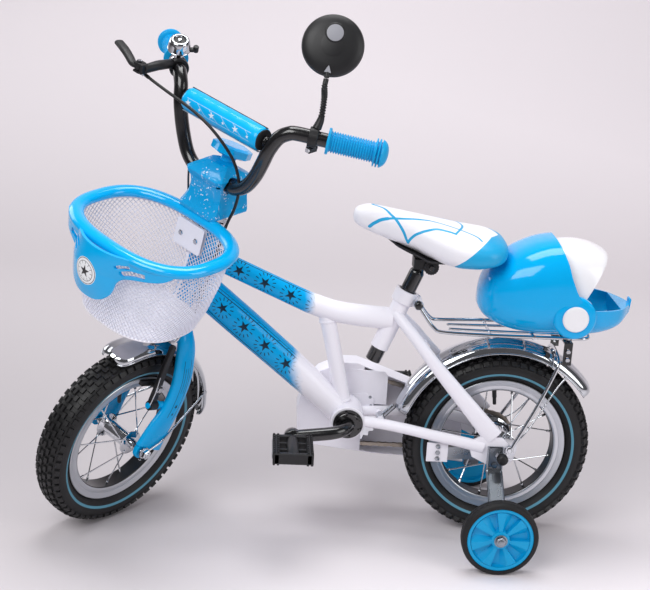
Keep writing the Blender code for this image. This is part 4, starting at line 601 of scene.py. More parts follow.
def sweep():
    # the floor runs back, bends up in a quarter circle and stands behind the bike
    bend = np.radians(np.linspace(-90, 0, 13))
    start, radius, half = studio["bendStart"], studio["bendRadius"], studio["size"]
    line = [(-half, 0.0)] + [(start + radius * math.cos(a), radius + radius * math.sin(a)) for a in bend]
    line += [(start + radius, studio["height"])]
    points = [(x, y, z) for y, z in line for x in (-half, half)]
    faces = [(2 * k, 2 * k + 1, 2 * k + 3, 2 * k + 2) for k in range(len(line) - 1)]
    mesh = meshOf("studioSweep", np.array(points) / mm, faces)
    mesh.shade_smooth()
    # painted light and shading in the paper's colour: palest high up on the wall, deepest on the floor to the
    # left
    paint = Paint("studioPaperPaintedLight", studio["backdrop"], 0.9, specular=0.1)
    x, y, z = paint.axes()
    back = y + z
    paintedShade = paint.step(back, 300, 1500) * paper["foot"] + paint.step(back, 1400, 3200) * paper["wall"]
    # a painted patch of light on the floor near the camera, stronger towards the right
    near = (1 - paint.step(back, -300, 180)) * paint.step(back, -1100, -350)
    near = near * (0.55 + paint.step(x, -700, -100) * 0.5)
    # painted light that grows for each millimetre to the right
    paintedShade = paintedShade + paper["lowest"] + (x + 250) * paper["right"] + near * paper["paintedLightPool"]
    paint.set("Base Color", paint.mix(paintedShade, colour("#000000"), paint.base))
    # clear from behind, so that every side of the bike can be looked at
    clear = paint.tree.nodes.new("ShaderNodeBsdfTransparent")
    behind = paint.node("NewGeometry", output="Backfacing").socket
    mixedShaders(paint.tree, behind, paint.shader.outputs[0], clear.outputs[0], "Material Output")
    mesh.materials.append(paint.material)
    floor = added("studioSweep", mesh)


def setAt(item, place, right, up):
    turn = Matrix(np.column_stack([right, up, np.cross(right, up)]).tolist()).to_4x4()
    turn.translation = place
    item.matrix_world = turn


def lamp(name, place, aim, size, power):
    light = bpy.data.lights.new(name, "AREA")
    light.shape = "RECTANGLE"
    light.size, light.size_y = size
    light.energy = power
    back = unit(np.subtract(place, aim))
    side = unit(np.cross(zWay if abs(back[2]) < 0.95 else yWay, back))
    setAt(added(name, light), place, side, np.cross(back, side))


def setStudio():
    sweep()
    for name, settings in lamps.items():
        lamp(name, *settings)
    world = bpy.data.worlds.new("studioWorld")
    bpy.context.scene.world = world
    world.use_nodes = True
    tree = world.node_tree
    sky, seen = tree.nodes["Background"], tree.nodes.new("ShaderNodeBackground")
    for shader, power in ((sky, studio["worldPower"]), (seen, studio["mirrored"])):
        shader.inputs["Color"].default_value = colour(studio["worldColour"])
        shader.inputs["Strength"].default_value = power
    # bright parts mirror a dim room, as in front of a studio's paper
    glossy = tree.nodes.new("ShaderNodeLightPath").outputs["Is Glossy Ray"]
    mixedShaders(tree, glossy, sky.outputs[0], seen.outputs[0], "World Output")
    view = bpy.data.cameras.new("photoCamera")
    view.lens = camera["lens"]
    view.sensor_width = 36
    eye = added("photoCamera", view)
    setAt(eye, camera["place"], camera["right"], camera["up"])
    bpy.context.scene.camera = eye
    bpy.context.scene.view_settings.view_transform = "Standard"


setStudio()
print("studio ready")


# Finishes shared by many pieces

tones = {"blue": "#00A4E4", "glossBlue": "#00B0F2", "white": "#F2F0F8", "black": "#131315"}

whitePaint = moulded("whitePaint", tones["white"], 0.28, coat=0.4, grain=1.2, depth=0.015)
whitePlastic = moulded("whitePlastic", tones["white"], 0.42, grain=0.7, depth=0.03)
blackPaint = moulded("blackPaint", tones["black"], 0.24, coat=0.6, grain=1.5, depth=0.015)
blackPlastic = moulded("blackPlastic", "#17171A", 0.46, grain=0.5, depth=0.04)
glossBlue = moulded("glossBlue", tones["glossBlue"], 0.14, coat=0.6, grain=2.5, depth=0.015, specular=0.1)
smallRubber = moulded("smallTyreRubber", "#1B1B1D", 0.6, grain=0.5, depth=0.05, specular=0.35, source="place")
chrome = plated("chromePlate", "#DADDE2", 0.09)
steel = plated("zincSteel", "#B4B8BE", 0.3)


def star(paint, u, v, radius, soft=0.35):
    # a point lies in a five-point star when its distance times cos(72 - a) is under cos 72 of the
    # tip radius, a being its angle from the nearest tip
    distance, turn = paint.polar(u, v)
    fifth = math.radians(72)
    angle = abs((turn + fifth / 2) % fifth - fifth / 2)
    reach = distance * paint.math("COSINE", fifth - angle)
    edge = radius * math.cos(fifth)
    return 1 - paint.step(reach, edge - soft, edge + soft)


def repeated(value, pitch):
    # folds a length into one pitch, with 0 in its middle
    return (value + pitch / 2) % pitch - pitch / 2


# Frame

frameSizes = {"fadeStart": -8.0, "fadeEnd": 14.0, "fadeX": -359.0, "fadeHeight": 285.0, "linePitch": 9.0,
              "starPitch": 46.0, "starRadius": 10.5}


def fadeAt(points, below=0.0):
    # how far behind the blue's slanting edge a point is
    rise = points[:, 2] - frameSizes["fadeHeight"]
    return points[:, 0] - frameSizes["fadeX"] - 0.2 * np.maximum(0, rise) - below * np.maximum(0, -rise)


def nearestOn(line, points):
    # each point's nearest point of a line, and the way from that
    nearest = np.argmin(((points[:, None] - line[None]) ** 2).sum(2), 1)
    return nearest, points - line[nearest]


def wrapped(path, radius):
    # local coordinates on a tube: length along it, length round it from its left side, and place in the fade
    line = curve(path, 90)
    run = runOf(line)
    along, side, up = tangentFrames(line, -yWay)

    def place(points):
        nearest, off = nearestOn(line, points)
        u = run[nearest] + (off * along[nearest]).sum(1)
        v = np.arctan2((off * up[nearest]).sum(1), (off * side[nearest]).sum(1)) * radius
        return np.stack([u, v, fadeAt(points, 0.18)], 1)

    return place


def fadedPaint(name, patterned):
    # blue at the front, white at the back; dark speed lines and stars along the left and right sides
    paint = moulded(name, tones["blue"], 0.25, coat=0.25, grain=1.5, depth=0.015, specular=0.12,
                    source="place")
    u, v, w = paint.axes("place")
    cloud = paint.noise(26, 3, "place")
    fade = paint.step(w + cloud * 18 - 20, frameSizes["fadeStart"], frameSizes["fadeEnd"])
    body = paint.mix(fade, paint.base, colour(tones["white"]))
    if patterned:
        sideWays = abs(v)
        sways = u + abs(repeated(u, 46)) * 0.35
        lines = paint.under(abs(repeated(sways + v * 1.4, frameSizes["linePitch"])), 0.55, 0.3)
        broken = paint.step(paint.noise(13, 1, "place"), 0.43, 0.5)
        lines = lines * paint.within(sideWays, 21.5, 24, 0.4) * broken
        along = repeated(u - 20, frameSizes["starPitch"])
        distance, angle = paint.polar(along, v + 2)
        rays = paint.under(abs(repeated(angle * 57.3, 24)), 2.6, 0.9) * paint.within(distance, 12.5, 18, 0.4)
        rails = paint.within(sideWays, 19.2, 20.6, 0.3), paint.within(sideWays, 24.2, 25.0, 0.3)
        ink = paint.most(star(paint, along, v + 2, frameSizes["starRadius"]), rays, lines, *rails)
        body = paint.mix(ink * (1 - fade) * 0.96, body, colour("#15202B"))
    paint.set("Base Color", body)
    return paint


framePaint = fadedPaint("framePaint", False)
tubePaint = fadedPaint("tubePaint", True)


def bead(centre, axis, radius, thick=1.6):
    # a weld: a low rounded ring
    return lathe([(-thick * 1.6, radius - 2), (-thick, radius + 0.4), (0, radius + thick * 0.6),
                  (thick, radius + 0.4), (thick * 1.6, radius - 2)], centre, unit(axis), 36)


def stays(side):
    chainStay = curve([(-250, 22 * side, 192), (-205, 28 * side, 191.5), (-160, 40 * side, 188.5),
                       (-110, 54 * side, 183), (-69, 60 * side, 177), (-30, 60 * side, 168)], 30)
    seatStay = curve([(-184, 8 * side, 376), (-150, 33 * side, 341), (-118, 46 * side, 303),
                      (-60, 57 * side, 238), (-14, 60 * side, 186)], 34)
    dropout = [(-56, 177), (-36, 187), (0, 186), (14, 174), (22, 161.4), (-2, 161.4), (-5.5, 158.5),
               (-5.5, 153.5), (-2, 150.6), (22, 150.6), (18, 145), (2, 139), (-22, 139), (-48, 152)]
    y = 60 * side
    return [bar(chainStay, [8.5, 8.5, 7], [9, 9, 10], 20), bar(seatStay, [9, 8, 7, 5.5], [9, 10, 13, 16], 20),
            plate(dropout, y - 3, y + 3, 0.9)]


def buildFrame():
    top = [(-501, 0, 463), (-345, 0, 394.5), (-313, 0, 382), (-280, 0, 372.5), (-240, 0, 367.5),
           (-188, 0, 364)]
    down = [(-516, 0, 417), (-490, 0, 396), (-402, 0, 322), (-333, 0, 263), (-252, 0, 190)]
    strut = [(-297, 0, 372), (-286, 0, 331), (-266, 0, 245), (-256, 0, 196)]
    topTube = bar(curve(top, 60), [17, 17, 18.5], sides=40)
    downTube = bar(curve(down, 60), [15, 25, 26, 25, 21], [27.5, 27, 25, 21], 44)
    make("frameTopTube", "bike_frame", tubePaint, [topTube], ["frame"], wrapped(top, 17))
    make("frameDownTube", "bike_frame", tubePaint, [downTube], ["frame"], wrapped(down, 24))
    seatTube = [(0, 12.9), (0, 14.2), (0.8, 15), (104.8, 15), (105.8, 14.2), (105.8, 12.9)]
    shells = [tube(onHead(385), onHead(530), 15.2, 18, 48, 1.0), bar(curve(strut, 30), 13, sides=32),
              hoop(seatTube, seatFoot, seatWay, 40),
              tube(bracketCentre - yWay * 34, bracketCentre + yWay * 34, 20, 28, 48, 1.2),
              rod((-128, -38, 314), (-128, 38, 314), 6, 20), rod((-196, -30, 191), (-196, 30, 191), 6, 20),
              bead(onHead(391), steerAxis, 18), bead(onHead(524), steerAxis, 18),
              bead((-206, 0, 362), (0.38, 0, 0.92), 15.5), bead((-486, 0, 456.3), (0.915, 0, -0.40), 17.4),
              bead((-293, 0, 356), (0.16, 0, -0.98), 13.4), bead((-261, 0, 221), (0.2, 0, -0.98), 13.4)]
    for side in bothSides:
        shells += stays(side)
    make("frameTubes", "bike_frame", framePaint, shells, ["frame"],
         lambda points: np.stack([points[:, 0], points[:, 2], fadeAt(points)], 1))


def buildHeadset():
    low, high = onHead(385 - 14.3), onHead(530.3)
    lower = hoop([(0, 13), (0, 17), (1.2, 18.6), (4, 20.4), (5, 21), (9, 21), (9.4, 20.5), (9.8, 21),
                  (14, 21), (14, 13)], low, steerAxis, 48)
    cup = hoop([(0, 13), (0, 21), (4, 21), (4.4, 20.4), (4.8, 21), (8.6, 21), (9.4, 20.2), (9.4, 13)],
               high, steerAxis, 48)
    cone = hoop([(9.9, 13), (9.9, 18.2), (11, 19.6), (15.5, 19.6), (16.5, 18.6), (16.5, 13)], high, steerAxis,
                48)
    hexagon = around(np.radians(np.arange(6) * 60 + 12), (19.2, 0), (0, 19.2))
    nut = plate(hexagon, 17, 26, 1.4, high, (*rightAngles(steerAxis), steerAxis))
    make("headsetCupLow", "bike_frame", steel, [lower], ["headset_lower"])
    make("headsetCupHigh", "bike_frame", chrome, [cup, cone, nut], ["headset_upper"])


def buildSeatClamp():
    centre = seatTop - seatWay * 20
    back = np.cross(yWay, seatWay)
    ear = centre + seatWay * 10 + back * 23
    ring = [(-0.4, 15.3), (-0.4, 18.6), (0.6, 19.4), (20.4, 19.4), (21.4, 18.6), (21.4, 15.3)]
    shells, bolt = [hoop(ring, centre, seatWay, 40)], [rod(ear - yWay * 25, ear + yWay * 25, 3, 16)]
    for side in bothSides:
        out = yWay * side
        cheek = [(0, 3.2), (0, 7.4), (0.8, 8), (8.4, 8), (9.2, 7.4), (9.2, 3.2)]
        shells.append(lathe(cheek, ear + out * 1.8, out, 24))
        shells.append(plate([(-9, -8), (4, -8), (4, 8), (-9, 8)], 1.8, 9.4, 1.2, ear, (back, seatWay, out)))
        bolt.append(lathe([(0, 6.4), (0.7, 7), (3.6, 7), (5, 5.5), (5.6, 3)], ear + out * 22.2, out, 6))
    make("saddleClamp", "bike_frame", whitePaint, shells, ["seat_clamp"])
    make("saddleClampBolt", "bike_frame", blackPaint, bolt)


def buildBracketCup():
    start = bracketCentre - yWay * 34.3
    cup = [(0, 10.9), (0, 24), (1, 24.6), (3.2, 24.6), (4.2, 23.6), (4.3, 20.4), (7.2, 20.4), (8, 19.4),
           (8, 10.9)]
    points, faces = block((-3, -2, -2), (3, 2, 2), 0.5)
    shells = [hoop(cup, start, -yWay, 48)]
    for k in range(6):
        turn = spin(yWay, math.radians(60 * k + 20))
        shells.append((points @ turn.T + start - yWay * 6 + turn @ xWay * 19.6, faces))
    make("bracketCup", "bike_frame", blackPaint, shells, ["bb_cup_left"])


buildFrame()
buildHeadset()
buildSeatClamp()
buildBracketCup()
print("frame ready")


# Wheels

wheelSizes = {"spokes": 16, "spokeRadius": 1.15, "lean": 34.0, "treads": 60}
# each row of treads: side distance, radius, tilt, length, width, height and shift round the tyre
treadRows = [(4.4, 151.6, 8, 10.6, 7.0, 4.2, 0.0), (13.6, 150.0, 22, 9.4, 7.6, 4.4, 0.5),
             (22.6, 144.4, 48, 11.5, 8.6, 4.2, 0.0)]


def tyrePaint():
    # place holds radius, angle and side distance; a thin pale blue line runs round each sidewall
    paint = moulded("tyreRubber", "#121214", 0.5, grain=0.5, depth=0.06, specular=0.45, source="place")
    radius, angle, side = paint.axes("place")
    body = paint.mix(paint.noise(9, 3, "place") * 0.2, paint.base, colour("#2C2C2E"))
    line = paint.within(radius, 124.2, 128.2, 0.4)
    paint.set("Base Color", paint.mix(line * 0.85, body, colour("#5FA0B8")))
    ribs = paint.math("SINE", radius * 3.1) * paint.within(radius, 116, 122, 1)
    paint.bump(ribs * 0.5 + 0.5, 0.25, 0.6)
    return paint


def rimFinish():
    # satin side walls, and black between them where the spokes go in
    paint = Paint("rimPaint", "#D6D9DE", 0.3, metallic=0.9)
    radius, angle, side = paint.axes("place")
    well = paint.under(abs(side), 13.6, 0.3) * (1 - paint.step(radius, 96, 97))
    lines = paint.noise(0.8, 2, "place", (1, 0.02, 1))
    satin = paint.mix(lines * 0.6, paint.base, colour("#B9BCC2"))
    paint.set("Base Color", paint.mix(well, satin, colour("#1A1A1C")))
    paint.set("Metallic", 0.9 - well * 0.9)
    paint.bump(lines, 0.03, 0.3)
    return paint


tyreRubber = tyrePaint()
rimPaint = rimFinish()


def wheelPlace(centre, axis):
    side, up = rightAngles(axis)

    def place(points):
        off = points - centre
        x, z, y = off @ side, off @ up, off @ axis
        return np.stack([np.hypot(x, z), np.degrees(np.arctan2(z, x)), y], 1)

    return place


def tyreShells(centre):
    half = [(13.4, 106.6), (14.2, 112), (14.6, 115.5), (19.5, 119), (24.5, 124.5), (26.9, 131), (26.6, 137.5),
            (24.4, 143.5), (20, 148.2), (14, 151), (7, 152.3)]
    inner = [(6, 146), (16, 143), (21, 136), (21, 128), (16, 120), (11.5, 113), (11, 106.6)]
    outline = half + [(0, 152.6)] + [(-y, r) for y, r in half[::-1]] + [(-y, r)
                                                                        for y, r in inner[::-1]] + inner
    shells = [hoop(outline, centre, yWay, 120)]
    side, up = rightAngles(yWay)
    treads = np.arange(wheelSizes["treads"])
    for distance, radius, tilt, length, width, height, shift in treadRows:
        for hand in bothSides:
            # the middle rows stand by turns
            turned = treads + shift + (0.5 if hand > 0 and distance < 10 else 0)
            angle = turned * 2 * np.pi / len(treads)
            out, forward = around(angle, side, up), around(angle, up, -side)
            lean = math.radians(tilt) * hand
            normal = out * math.cos(lean) + yWay * math.sin(lean)
            ways = np.stack([forward, np.cross(normal, forward), normal], 1)
            origins = centre + out * radius + yWay * distance * hand
            shells.append(scatter(knob(length, width, height, 0.84), origins, ways))
    return shells


def rimShells(centre):
    well = [(17.6, 113.4), (17, 114.1), (15.2, 114.1), (14.6, 113.2), (14.2, 108.5), (12.2, 106.4),
            (7, 105.4)]
    wall = [(15.3, 104.6), (14.7, 104.2), (14.5, 99), (13.8, 96.4), (12.4, 95.2)]
    outline = well + [(-y, r) for y, r in well[::-1]] + [(-y, r) for y, r in wall] + wall[::-1]
    return [hoop(outline, centre, yWay, 120)]


def laced(centre, flange, flangeSide):
    # spokes lean by turns forward and back, from each flange to the middle of the rim
    side, up = rightAngles(yWay)
    spokes, heads = [], []
    for k in range(wheelSizes["spokes"]):
        at = math.radians(360 * (k + 0.5) / wheelSizes["spokes"])
        ahead = k % 4 < 2
        lean = math.radians(wheelSizes["lean"]) * (1 if ahead else -1)
        hand = yWay * (1 if k % 2 else -1)
        hubWay = side * math.cos(at + lean) + up * math.sin(at + lean)
        rimWay = side * math.cos(at) + up * math.sin(at)
        start = centre + hubWay * (flange - 3.4) + hand * (flangeSide + (2.4 if ahead else -0.4))
        end = centre + rimWay * 98.8 + hand * 4
        way = unit(end - start)
        spokes += [rod(start, end, wheelSizes["spokeRadius"], 8), rod(end - way * 11, end, 2.1, 8, 0.5)]
        heads.append(rod(start - hand * 2.2, start + hand, 2.3, 10, 0.8))
    return spokes + heads


def buildWheel(name, centre, barrel, flange, flangeSide, left, right, endRadius):
    # the hub's profile: an end, a flange, the barrel, a flange and an end
    end = [(2.4, endRadius), (1.5, flange - 1), (0.8, flange), (-0.8, flange), (-1.6, flange - 1)]
    half = [(flangeSide + y, r) for y, r in end]
    profile = [(left, 5.2), (left, endRadius - 0.6), (left + 0.6, endRadius)] + [(-y, r) for y, r in half]
    profile += [(-flangeSide + 3, barrel + 3), (-flangeSide + 6, barrel), (flangeSide - 6, barrel),
                (flangeSide - 3, barrel + 3)] + half[::-1]
    profile += [(right - 0.6, endRadius), (right, endRadius - 0.6), (right, 5.2)]
    valve = [(66, 2.4), (67, 3.0), (78, 3.2), (79, 3.8), (96, 3.8)]
    place, body = wheelPlace(centre, yWay), name + "_wheel"
    for part, paint, shells, node, slot in (
            ("Tyre", tyreRubber, tyreShells(centre), "_tyre", "tyre_rubber"),
            ("Rim", rimPaint, rimShells(centre), "_rim", "rim_alloy"),
            ("HubShell", chrome, [hoop(profile, centre, yWay, 48)], "_hub", "plain_steel"),
            ("Spokes", chrome, laced(centre, flange, flangeSide), "_hub", "plain_steel")):
        make(name + part, body, paint, shells, [name + node], place)
    make(name + "Valve", body, blackPlastic, [lathe(valve, centre, unit([-0.1, 0, 1]), 20)], place=place)


frontAxle = straightAhead(jointPoint("front_wheel_spin"))
buildWheel("rear", rearHub, 24, 31, 32, -44, 47, 14)
buildWheel("front", frontAxle, 13, 21, 29, -43, 43, 8)
print("wheels ready")


# Drive

drive = {"ringTeeth": 32, "sprocketTeeth": 16, "pitch": 12.7, "chainSide": 44.0, "crankDegrees": 186.9}
crankWay = spin(yWay, -math.radians(drive["crankDegrees"])) @ xWay


def crankPoint(reach, y):
    return bracketCentre + crankWay * reach + yWay * y


def buildCrank():
    path = [(96, -72), (60, -72), (30, -71), (12, -64), (2, -52), (0, -44), (0, -36), (0, 36), (0, 53),
            (-2, 62), (-12, 80), (-30, 87), (-60, 88), (-96, 88)]
    shells = [bar(curve([crankPoint(*p) for p in path], 110), 10.5, sides=28, guide=zWay, nose=3)]
    for eye, side in ((crankPoint(92, -72), nearSide), (crankPoint(-92, 88), farSide)):
        boss = [(-8, 11.6), (-6.6, 13.4), (-5, 14), (5, 14), (6.6, 13.4), (8, 11.6)]
        pin = [(8, 7.2), (12.4, 7.2), (12.8, 6.4), (12.8, 5), (88, 5), (90, 4)]
        shells += [lathe(boss, eye, yWay, 36), lathe(pin, eye, yWay * side, 24)]
    make("crankBar", "crankset", blackPaint, shells, ["crank"])
    edged("chainWheel", "chainring", "crankset", chrome, 0.35)


def reflectorPaint():
    paint = Paint("reflectorClear", "#8F9296", 0.2, metallic=0.3, coat=0.8)
    x, y, z = paint.axes()
    cells = abs(repeated(x + y, 2.4)) + abs(repeated(z + y * 0.5, 2.4))
    paint.bump(cells * 0.5, 0.5, 0.8)
    paint.set("Base Color", paint.mix(cells * 0.35, colour("#A9ACB0"), colour("#55585C")))
    return paint


reflector = reflectorPaint()


def studs(shape, spots, ways):
    # the same small block at many spots, all turned alike
    return scatter(knob(*shape), spots, np.repeat(np.array([ways]), len(spots), 0))


def boxAt(centre, half, edge):
    return block(np.subtract(centre, half), np.add(centre, half), edge)


def buildPedal(name, hand):
    c = jointPoint(hand + "_pedal_spin")
    body = hand + "_pedal"
    axle = [(-40, 5.6), (-40, 8.6), (-38, 9.4), (-12, 10.6), (12, 10.6), (38, 9.4), (40, 8.6), (40, 5.6)]
    shells, glass = [hoop(axle, c, yWay, 32)], []
    for s in bothSides:
        x = 26.5 * s
        shells += [boxAt(c + (x, 0, 0), (5.5, 41, 8.5), 1.6), boxAt(c + (0, 37 * s, 0), (30, 4, 9), 1.4),
                   boxAt(c + (0, 13 * s, 0), (29, 2, 6), 0.8)]
        spots = c + np.array([(x + dx, dy, 0) for dx in (-3.2, 3.2) for dy in np.linspace(-36, 36, 9)])
        for face in bothSides:
            ways = [xWay, yWay * face, zWay * face]
            shells.append(studs((4.6, 5, 3.4, 0.62), spots + [0, 0, face * 8.4], ways))
        edge = c + np.array([(31.6 * s, dy, 0) for dy in np.linspace(-32, 32, 7)])
        shells.append(studs((6.5, 9, 0.4, 0.8), edge, [yWay * s, zWay, xWay * s]))
        glass.append(boxAt(c + (31.9 * s - 0.55, 0, 0), (0.65, 26, 5.4), 0.3))
    make(name + "Body", body, blackPlastic, shells, ["pedal_" + hand])
    make(name + "Reflector", body, reflector, glass)


def pitchLine():
    # the chain's line round both wheels: two arcs and the tangents that join them
    pitch = drive["pitch"]
    big, small = (pitch / (2 * math.sin(math.pi / drive[key])) for key in ("ringTeeth", "sprocketTeeth"))
    span = rearHub - bracketCentre
    lean = math.atan2(span[2], span[0])
    opening = math.acos((big - small) / np.linalg.norm(span))
    arcs = ((bracketCentre, big, lean + opening, lean + 2 * math.pi - opening),
            (rearHub, small, lean - opening, lean + opening))
    line = np.concatenate([centre + around(np.linspace(first, last, 60), xWay, zWay) * radius
                           for centre, radius, first, last in arcs]) + yWay * drive["chainSide"]
    closed = np.vstack([line, line[:1]])
    run = runOf(closed)
    count = 2 * round(run[-1] / pitch / 2)
    return evened(closed, np.linspace(0, run[-1], count, endpoint=False), run)


def buildChain():
    pins = pitchLine()
    ends = np.roll(pins, -1, 0)
    way = unit(ends - pins)
    ways = np.stack([way, np.cross(way, yWay), np.broadcast_to(yWay, way.shape)], 1)
    half = np.linalg.norm(ends - pins, axis=1).mean() / 2
    shape = []
    for hand, first in ((-1, 100), (1, -80)):
        arc = np.radians(np.linspace(first, first + 160, 5))
        shape += [(hand * half + 3.6 * math.cos(a), 3.6 * math.sin(a)) for a in arc] + [(0, hand * 2.7)]
    shells = []
    for parity, offset in ((0, 2.55), (1, 1.55)):
        chosen = np.arange(len(pins)) % 2 == parity
        for side in bothSides:
            flat = plate(shape, side * offset - 0.4, side * offset + 0.4, 0.15, ways=(xWay, yWay, zWay))
            shells.append(scatter(flat, ((pins + ends) / 2)[chosen], ways[chosen]))
    roller = [(-3.3, 1.6), (-1.2, 1.7), (-1.2, 3), (1.2, 3), (1.2, 1.7), (3.3, 1.6)]
    shells.append(scatter(lathe(roller, axis=zWay, steps=10), pins, ways))
    make("chainLinks", "bike_frame", chainSteel, shells, ["chain"])


def threads(centre, axis, places, radius, reach, steps):
    return [lathe([(y - reach, radius - reach), (y, radius), (y + reach, radius - reach)], centre, axis,
                  steps)
            for y in places]


def buildRearEnd():
    shells = [rod(rearHub - yWay * 84, rearHub + yWay * 84, 4.9, 20, 1.0)]
    for side, start in ((nearSide, 50.5), (farSide, 49)):
        out = yWay * side
        shells.append(lathe([(start, 8.4), (start + 0.6, 9), (56.1, 9), (56.7, 8.4)], rearHub, out, 32))
        shells.append(hexNut(rearHub, out, 9, 66.8, 74.6, 14))
        shells.append(lathe([(66.3, 9.2), (66.9, 9.2)], rearHub, out, 32))
    shells += threads(rearHub, yWay, np.arange(75.2, 83, 1.0), 5.05, 0.35, 16)
    make("rearAxleBar", "bike_frame", chrome, shells, ["rear_axle"])
    cap = lathe([(0, 8.6), (0.5, 9), (8, 9), (11, 8), (12.6, 5.8), (13, 3)], rearHub - yWay * 74.9, -yWay, 32)
    make("axleCap", "bike_frame", blackPlastic, [cap], ["axle_cap_left"])
    edged("coasterArm", "coaster_arm", "bike_frame", steel, 0.5)
    edged("coasterClip", "coaster_clip", "bike_frame", whitePlastic, 0.5)
    edged("rearSprocket", "rear_sprocket", "sprocket", steel, 0.3)
    screws = [lathe([(0, 4), (1.6, 3.8), (2.2, 2.6)], (-103, -52.9, z), -yWay, 20) for z in (143, 164)]
    screws += [hexNut((-103, -52.9, 153.5), -yWay, 4.2, 0, 2.4)]
    make("clipScrews", "bike_frame", steel, screws)


def buildChainCase():
    edged("chainCover", "chain_case", "bike_frame", whitePlastic, 0.9)
    ring = [(0, 33), (0, 41), (1.2, 42), (2, 41), (2.4, 36), (1.6, 33)]
    # on its wheel side a white plate with a riveted tab
    panel = [(-255, 259), (-248.6, 262.8), (-189.5, 259.9), (-183.9, 253), (-183.8, 201), (-251.7, 201.9)]
    tab = [(-249.3, 218.2), (-219, 221.2), (-204.8, 211), (-205.5, 194.8), (-240.8, 189.7)]
    base, ways = (0, 34.3, 0), (xWay, zWay, -yWay)
    discs = [hoop(ring, bracketCentre + yWay * 75, yWay, 56), plate(panel, -0.4, 1.2, 0.4, base, ways),
             plate(tab, -0.4, 2.6, 0.5, base, ways)]
    make("chainCoverRing", "bike_frame", whitePlastic, discs)
    rivets = [lathe([(0, 2.6), (0.9, 2.2), (1.4, 0.9)], (x, 31.8, z), -yWay, 16)
              for x, z in ((-212, 214), (-210, 199))]
    make("coverRivets", "bike_frame", steel, rivets)
    screws = [lathe([(0, 4.4), (1.2, 4.2), (2, 2.8)], (x, 75, z), yWay, 20)
              for x, z in ((-310, 170), (-262, 262), (-70, 120), (-64, 190))]
    make("chainCoverScrews", "bike_frame", chrome, screws)


chainSteel = plated("chainSteel", "#9C9389", 0.34)
buildCrank()
buildPedal("leftPedal", "left")
buildPedal("rightPedal", "right")
buildChain()
buildRearEnd()
buildChainCase()
print("drive ready")


# Stabilisers

stabiliser = {"place": (-11.0, 171.0, 61.5), "hub": 53.0, "width": 24.0, "blades": 7, "bladeSteps": 57}
hubBlue = moulded("hubBlue", "#00A0D8", 0.32, grain=0.6, depth=0.04, specular=0.3)
zinc = plated("zincPlate", "#9CA2AA", 0.3)


def buildStabiliserWheel(name, c, out):
    half, hub = stabiliser["width"] / 2, stabiliser["hub"]
    blades, steps = stabiliser["blades"], stabiliser["bladeSteps"]
    disc = [(-half + 1, 5.5), (-half + 1, 14), (-4, 16), (-4, hub - 7), (-half + 1, hub - 5),
            (-half + 0.6, hub - 0.4), (half - 1.4, hub - 0.2), (half - 0.9, hub - 1), (half - 0.9, hub - 4.4),
            (half - 1.8, hub - 5.6), (5, hub - 7), (3, hub - 9), (3, 17), (5, 15.4), (half - 0.5, 14.4),
            (half + 0.4, 13), (half + 0.5, 5.5)]
    # the face climbs slowly along each blade and then falls off at once
    turn = wholeTurn(steps * blades)
    ramp = np.clip((turn * blades / (2 * np.pi)) % 1 / 0.62, 0, 1) ** 1.2
    ramp = np.where(np.arange(len(turn)) % steps >= steps - 1, 0.4, ramp)
    radius = np.array([13, 14, 15.5, 20, 28, 36, 42, hub - 7.6, hub - 6.4, hub - 6.4, 13])
    blend = np.array([0, 0, 0.75, 1, 1, 1, 1, 0.9, 0, 0, 0])
    level = 10.2 - blend[:, None] * (13.0 * (1 - ramp))[None]
    level[-2:] = 2.6
    ring = around(turn, xWay, np.cross(out, xWay))
    fan = skin(c + ring[None] * radius[:, None, None] + out * level[..., None], loop=True)
    side = [(half - 2.6, 60.4), (half - 0.8, 58.4), (half, 56), (half, hub + 0.2)]
    groove = [(4.1, 60.9), (4.6, 60.9), (5, 61.5), (half - 5, 61.3)]
    right = [(3.7, 61.5)] + groove + side
    tyre = [(-y, r) for y, r in right[::-1]] + right
    body, place = name + "_stabiliser_wheel", wheelPlace(c, out)
    make(name + "StabiliserHub", body, hubBlue, [hoop(disc, c, out, 96), fan],
         ["stabiliser_" + name + "_wheel"], place)
    make(name + "StabiliserTyre", body, smallRubber, [hoop(tyre, c, out, 96)],
         ["stabiliser_" + name + "_tyre"], place)


def buildStabiliser(name, side):
    x, y, z = stabiliser["place"]
    out, half = yWay * side, stabiliser["width"] / 2
    c = np.array([x, side * y, z])
    buildStabiliserWheel(name, c, out)
    inside, top = y - half - 4, 64.8
    path = [(172, top), (150, top), (134, top), (128, top + 3), (68, inside - 3), (62, inside), (46, inside)]
    line = rounded([(x + 1, side * y, z) for z, y in path], 5, 6)
    # a shallow channel: a flat web and two flanges that turn outwards
    flange = [(13, 7), (11.6, 7.6), (10.8, 6.8), (10.8, 1.5)]
    web = [(-13, -1.5), (13, -1.5)] + flange + [(-u, v) for u, v in flange[::-1]]
    along, _, _ = tangentFrames(line, xWay)
    facing = np.sign((np.cross(along, np.broadcast_to(xWay, along.shape)) @ yWay).mean()) * side
    foot, end = np.array([x, side * inside, z]), c + out * (half + 3)
    shells = [swept(line, [(u, v * facing) for u, v in web]), rod(foot, end + out * 2, 5, 20),
              lathe([(-1.2, 10.5), (0, 10.5)], end, out, 32), hexNut(end, out, 8.6, 0, 5.4, 20),
              lathe([(5, 5), (6.8, 4.6), (7.2, 3.6)], end, out, 20), lathe([(0, 9), (9, 9)], foot, out, 28),
              hexNut(np.array([x + 1, side * (top + 1.6), 141]), out, 5.4, 0, 4.4)]
    make(name + "StabiliserBracket", "bike_frame", zinc, shells, ["stabiliser_" + name + "_bracket"],
         sharp=30)


buildStabiliser("left", nearSide)
buildStabiliser("right", farSide)
print("stabilisers ready")


# Mudguards

guards = {"halfWidth": 30.5, "thick": 1.4, "rearCrown": 184.0, "rearEdge": 165.0, "frontCrown": 180.0,
          "frontEdge": 164.0, "power": 2.6}
guardChrome = plated("guardChrome", "#D3D7DC", 0.07)


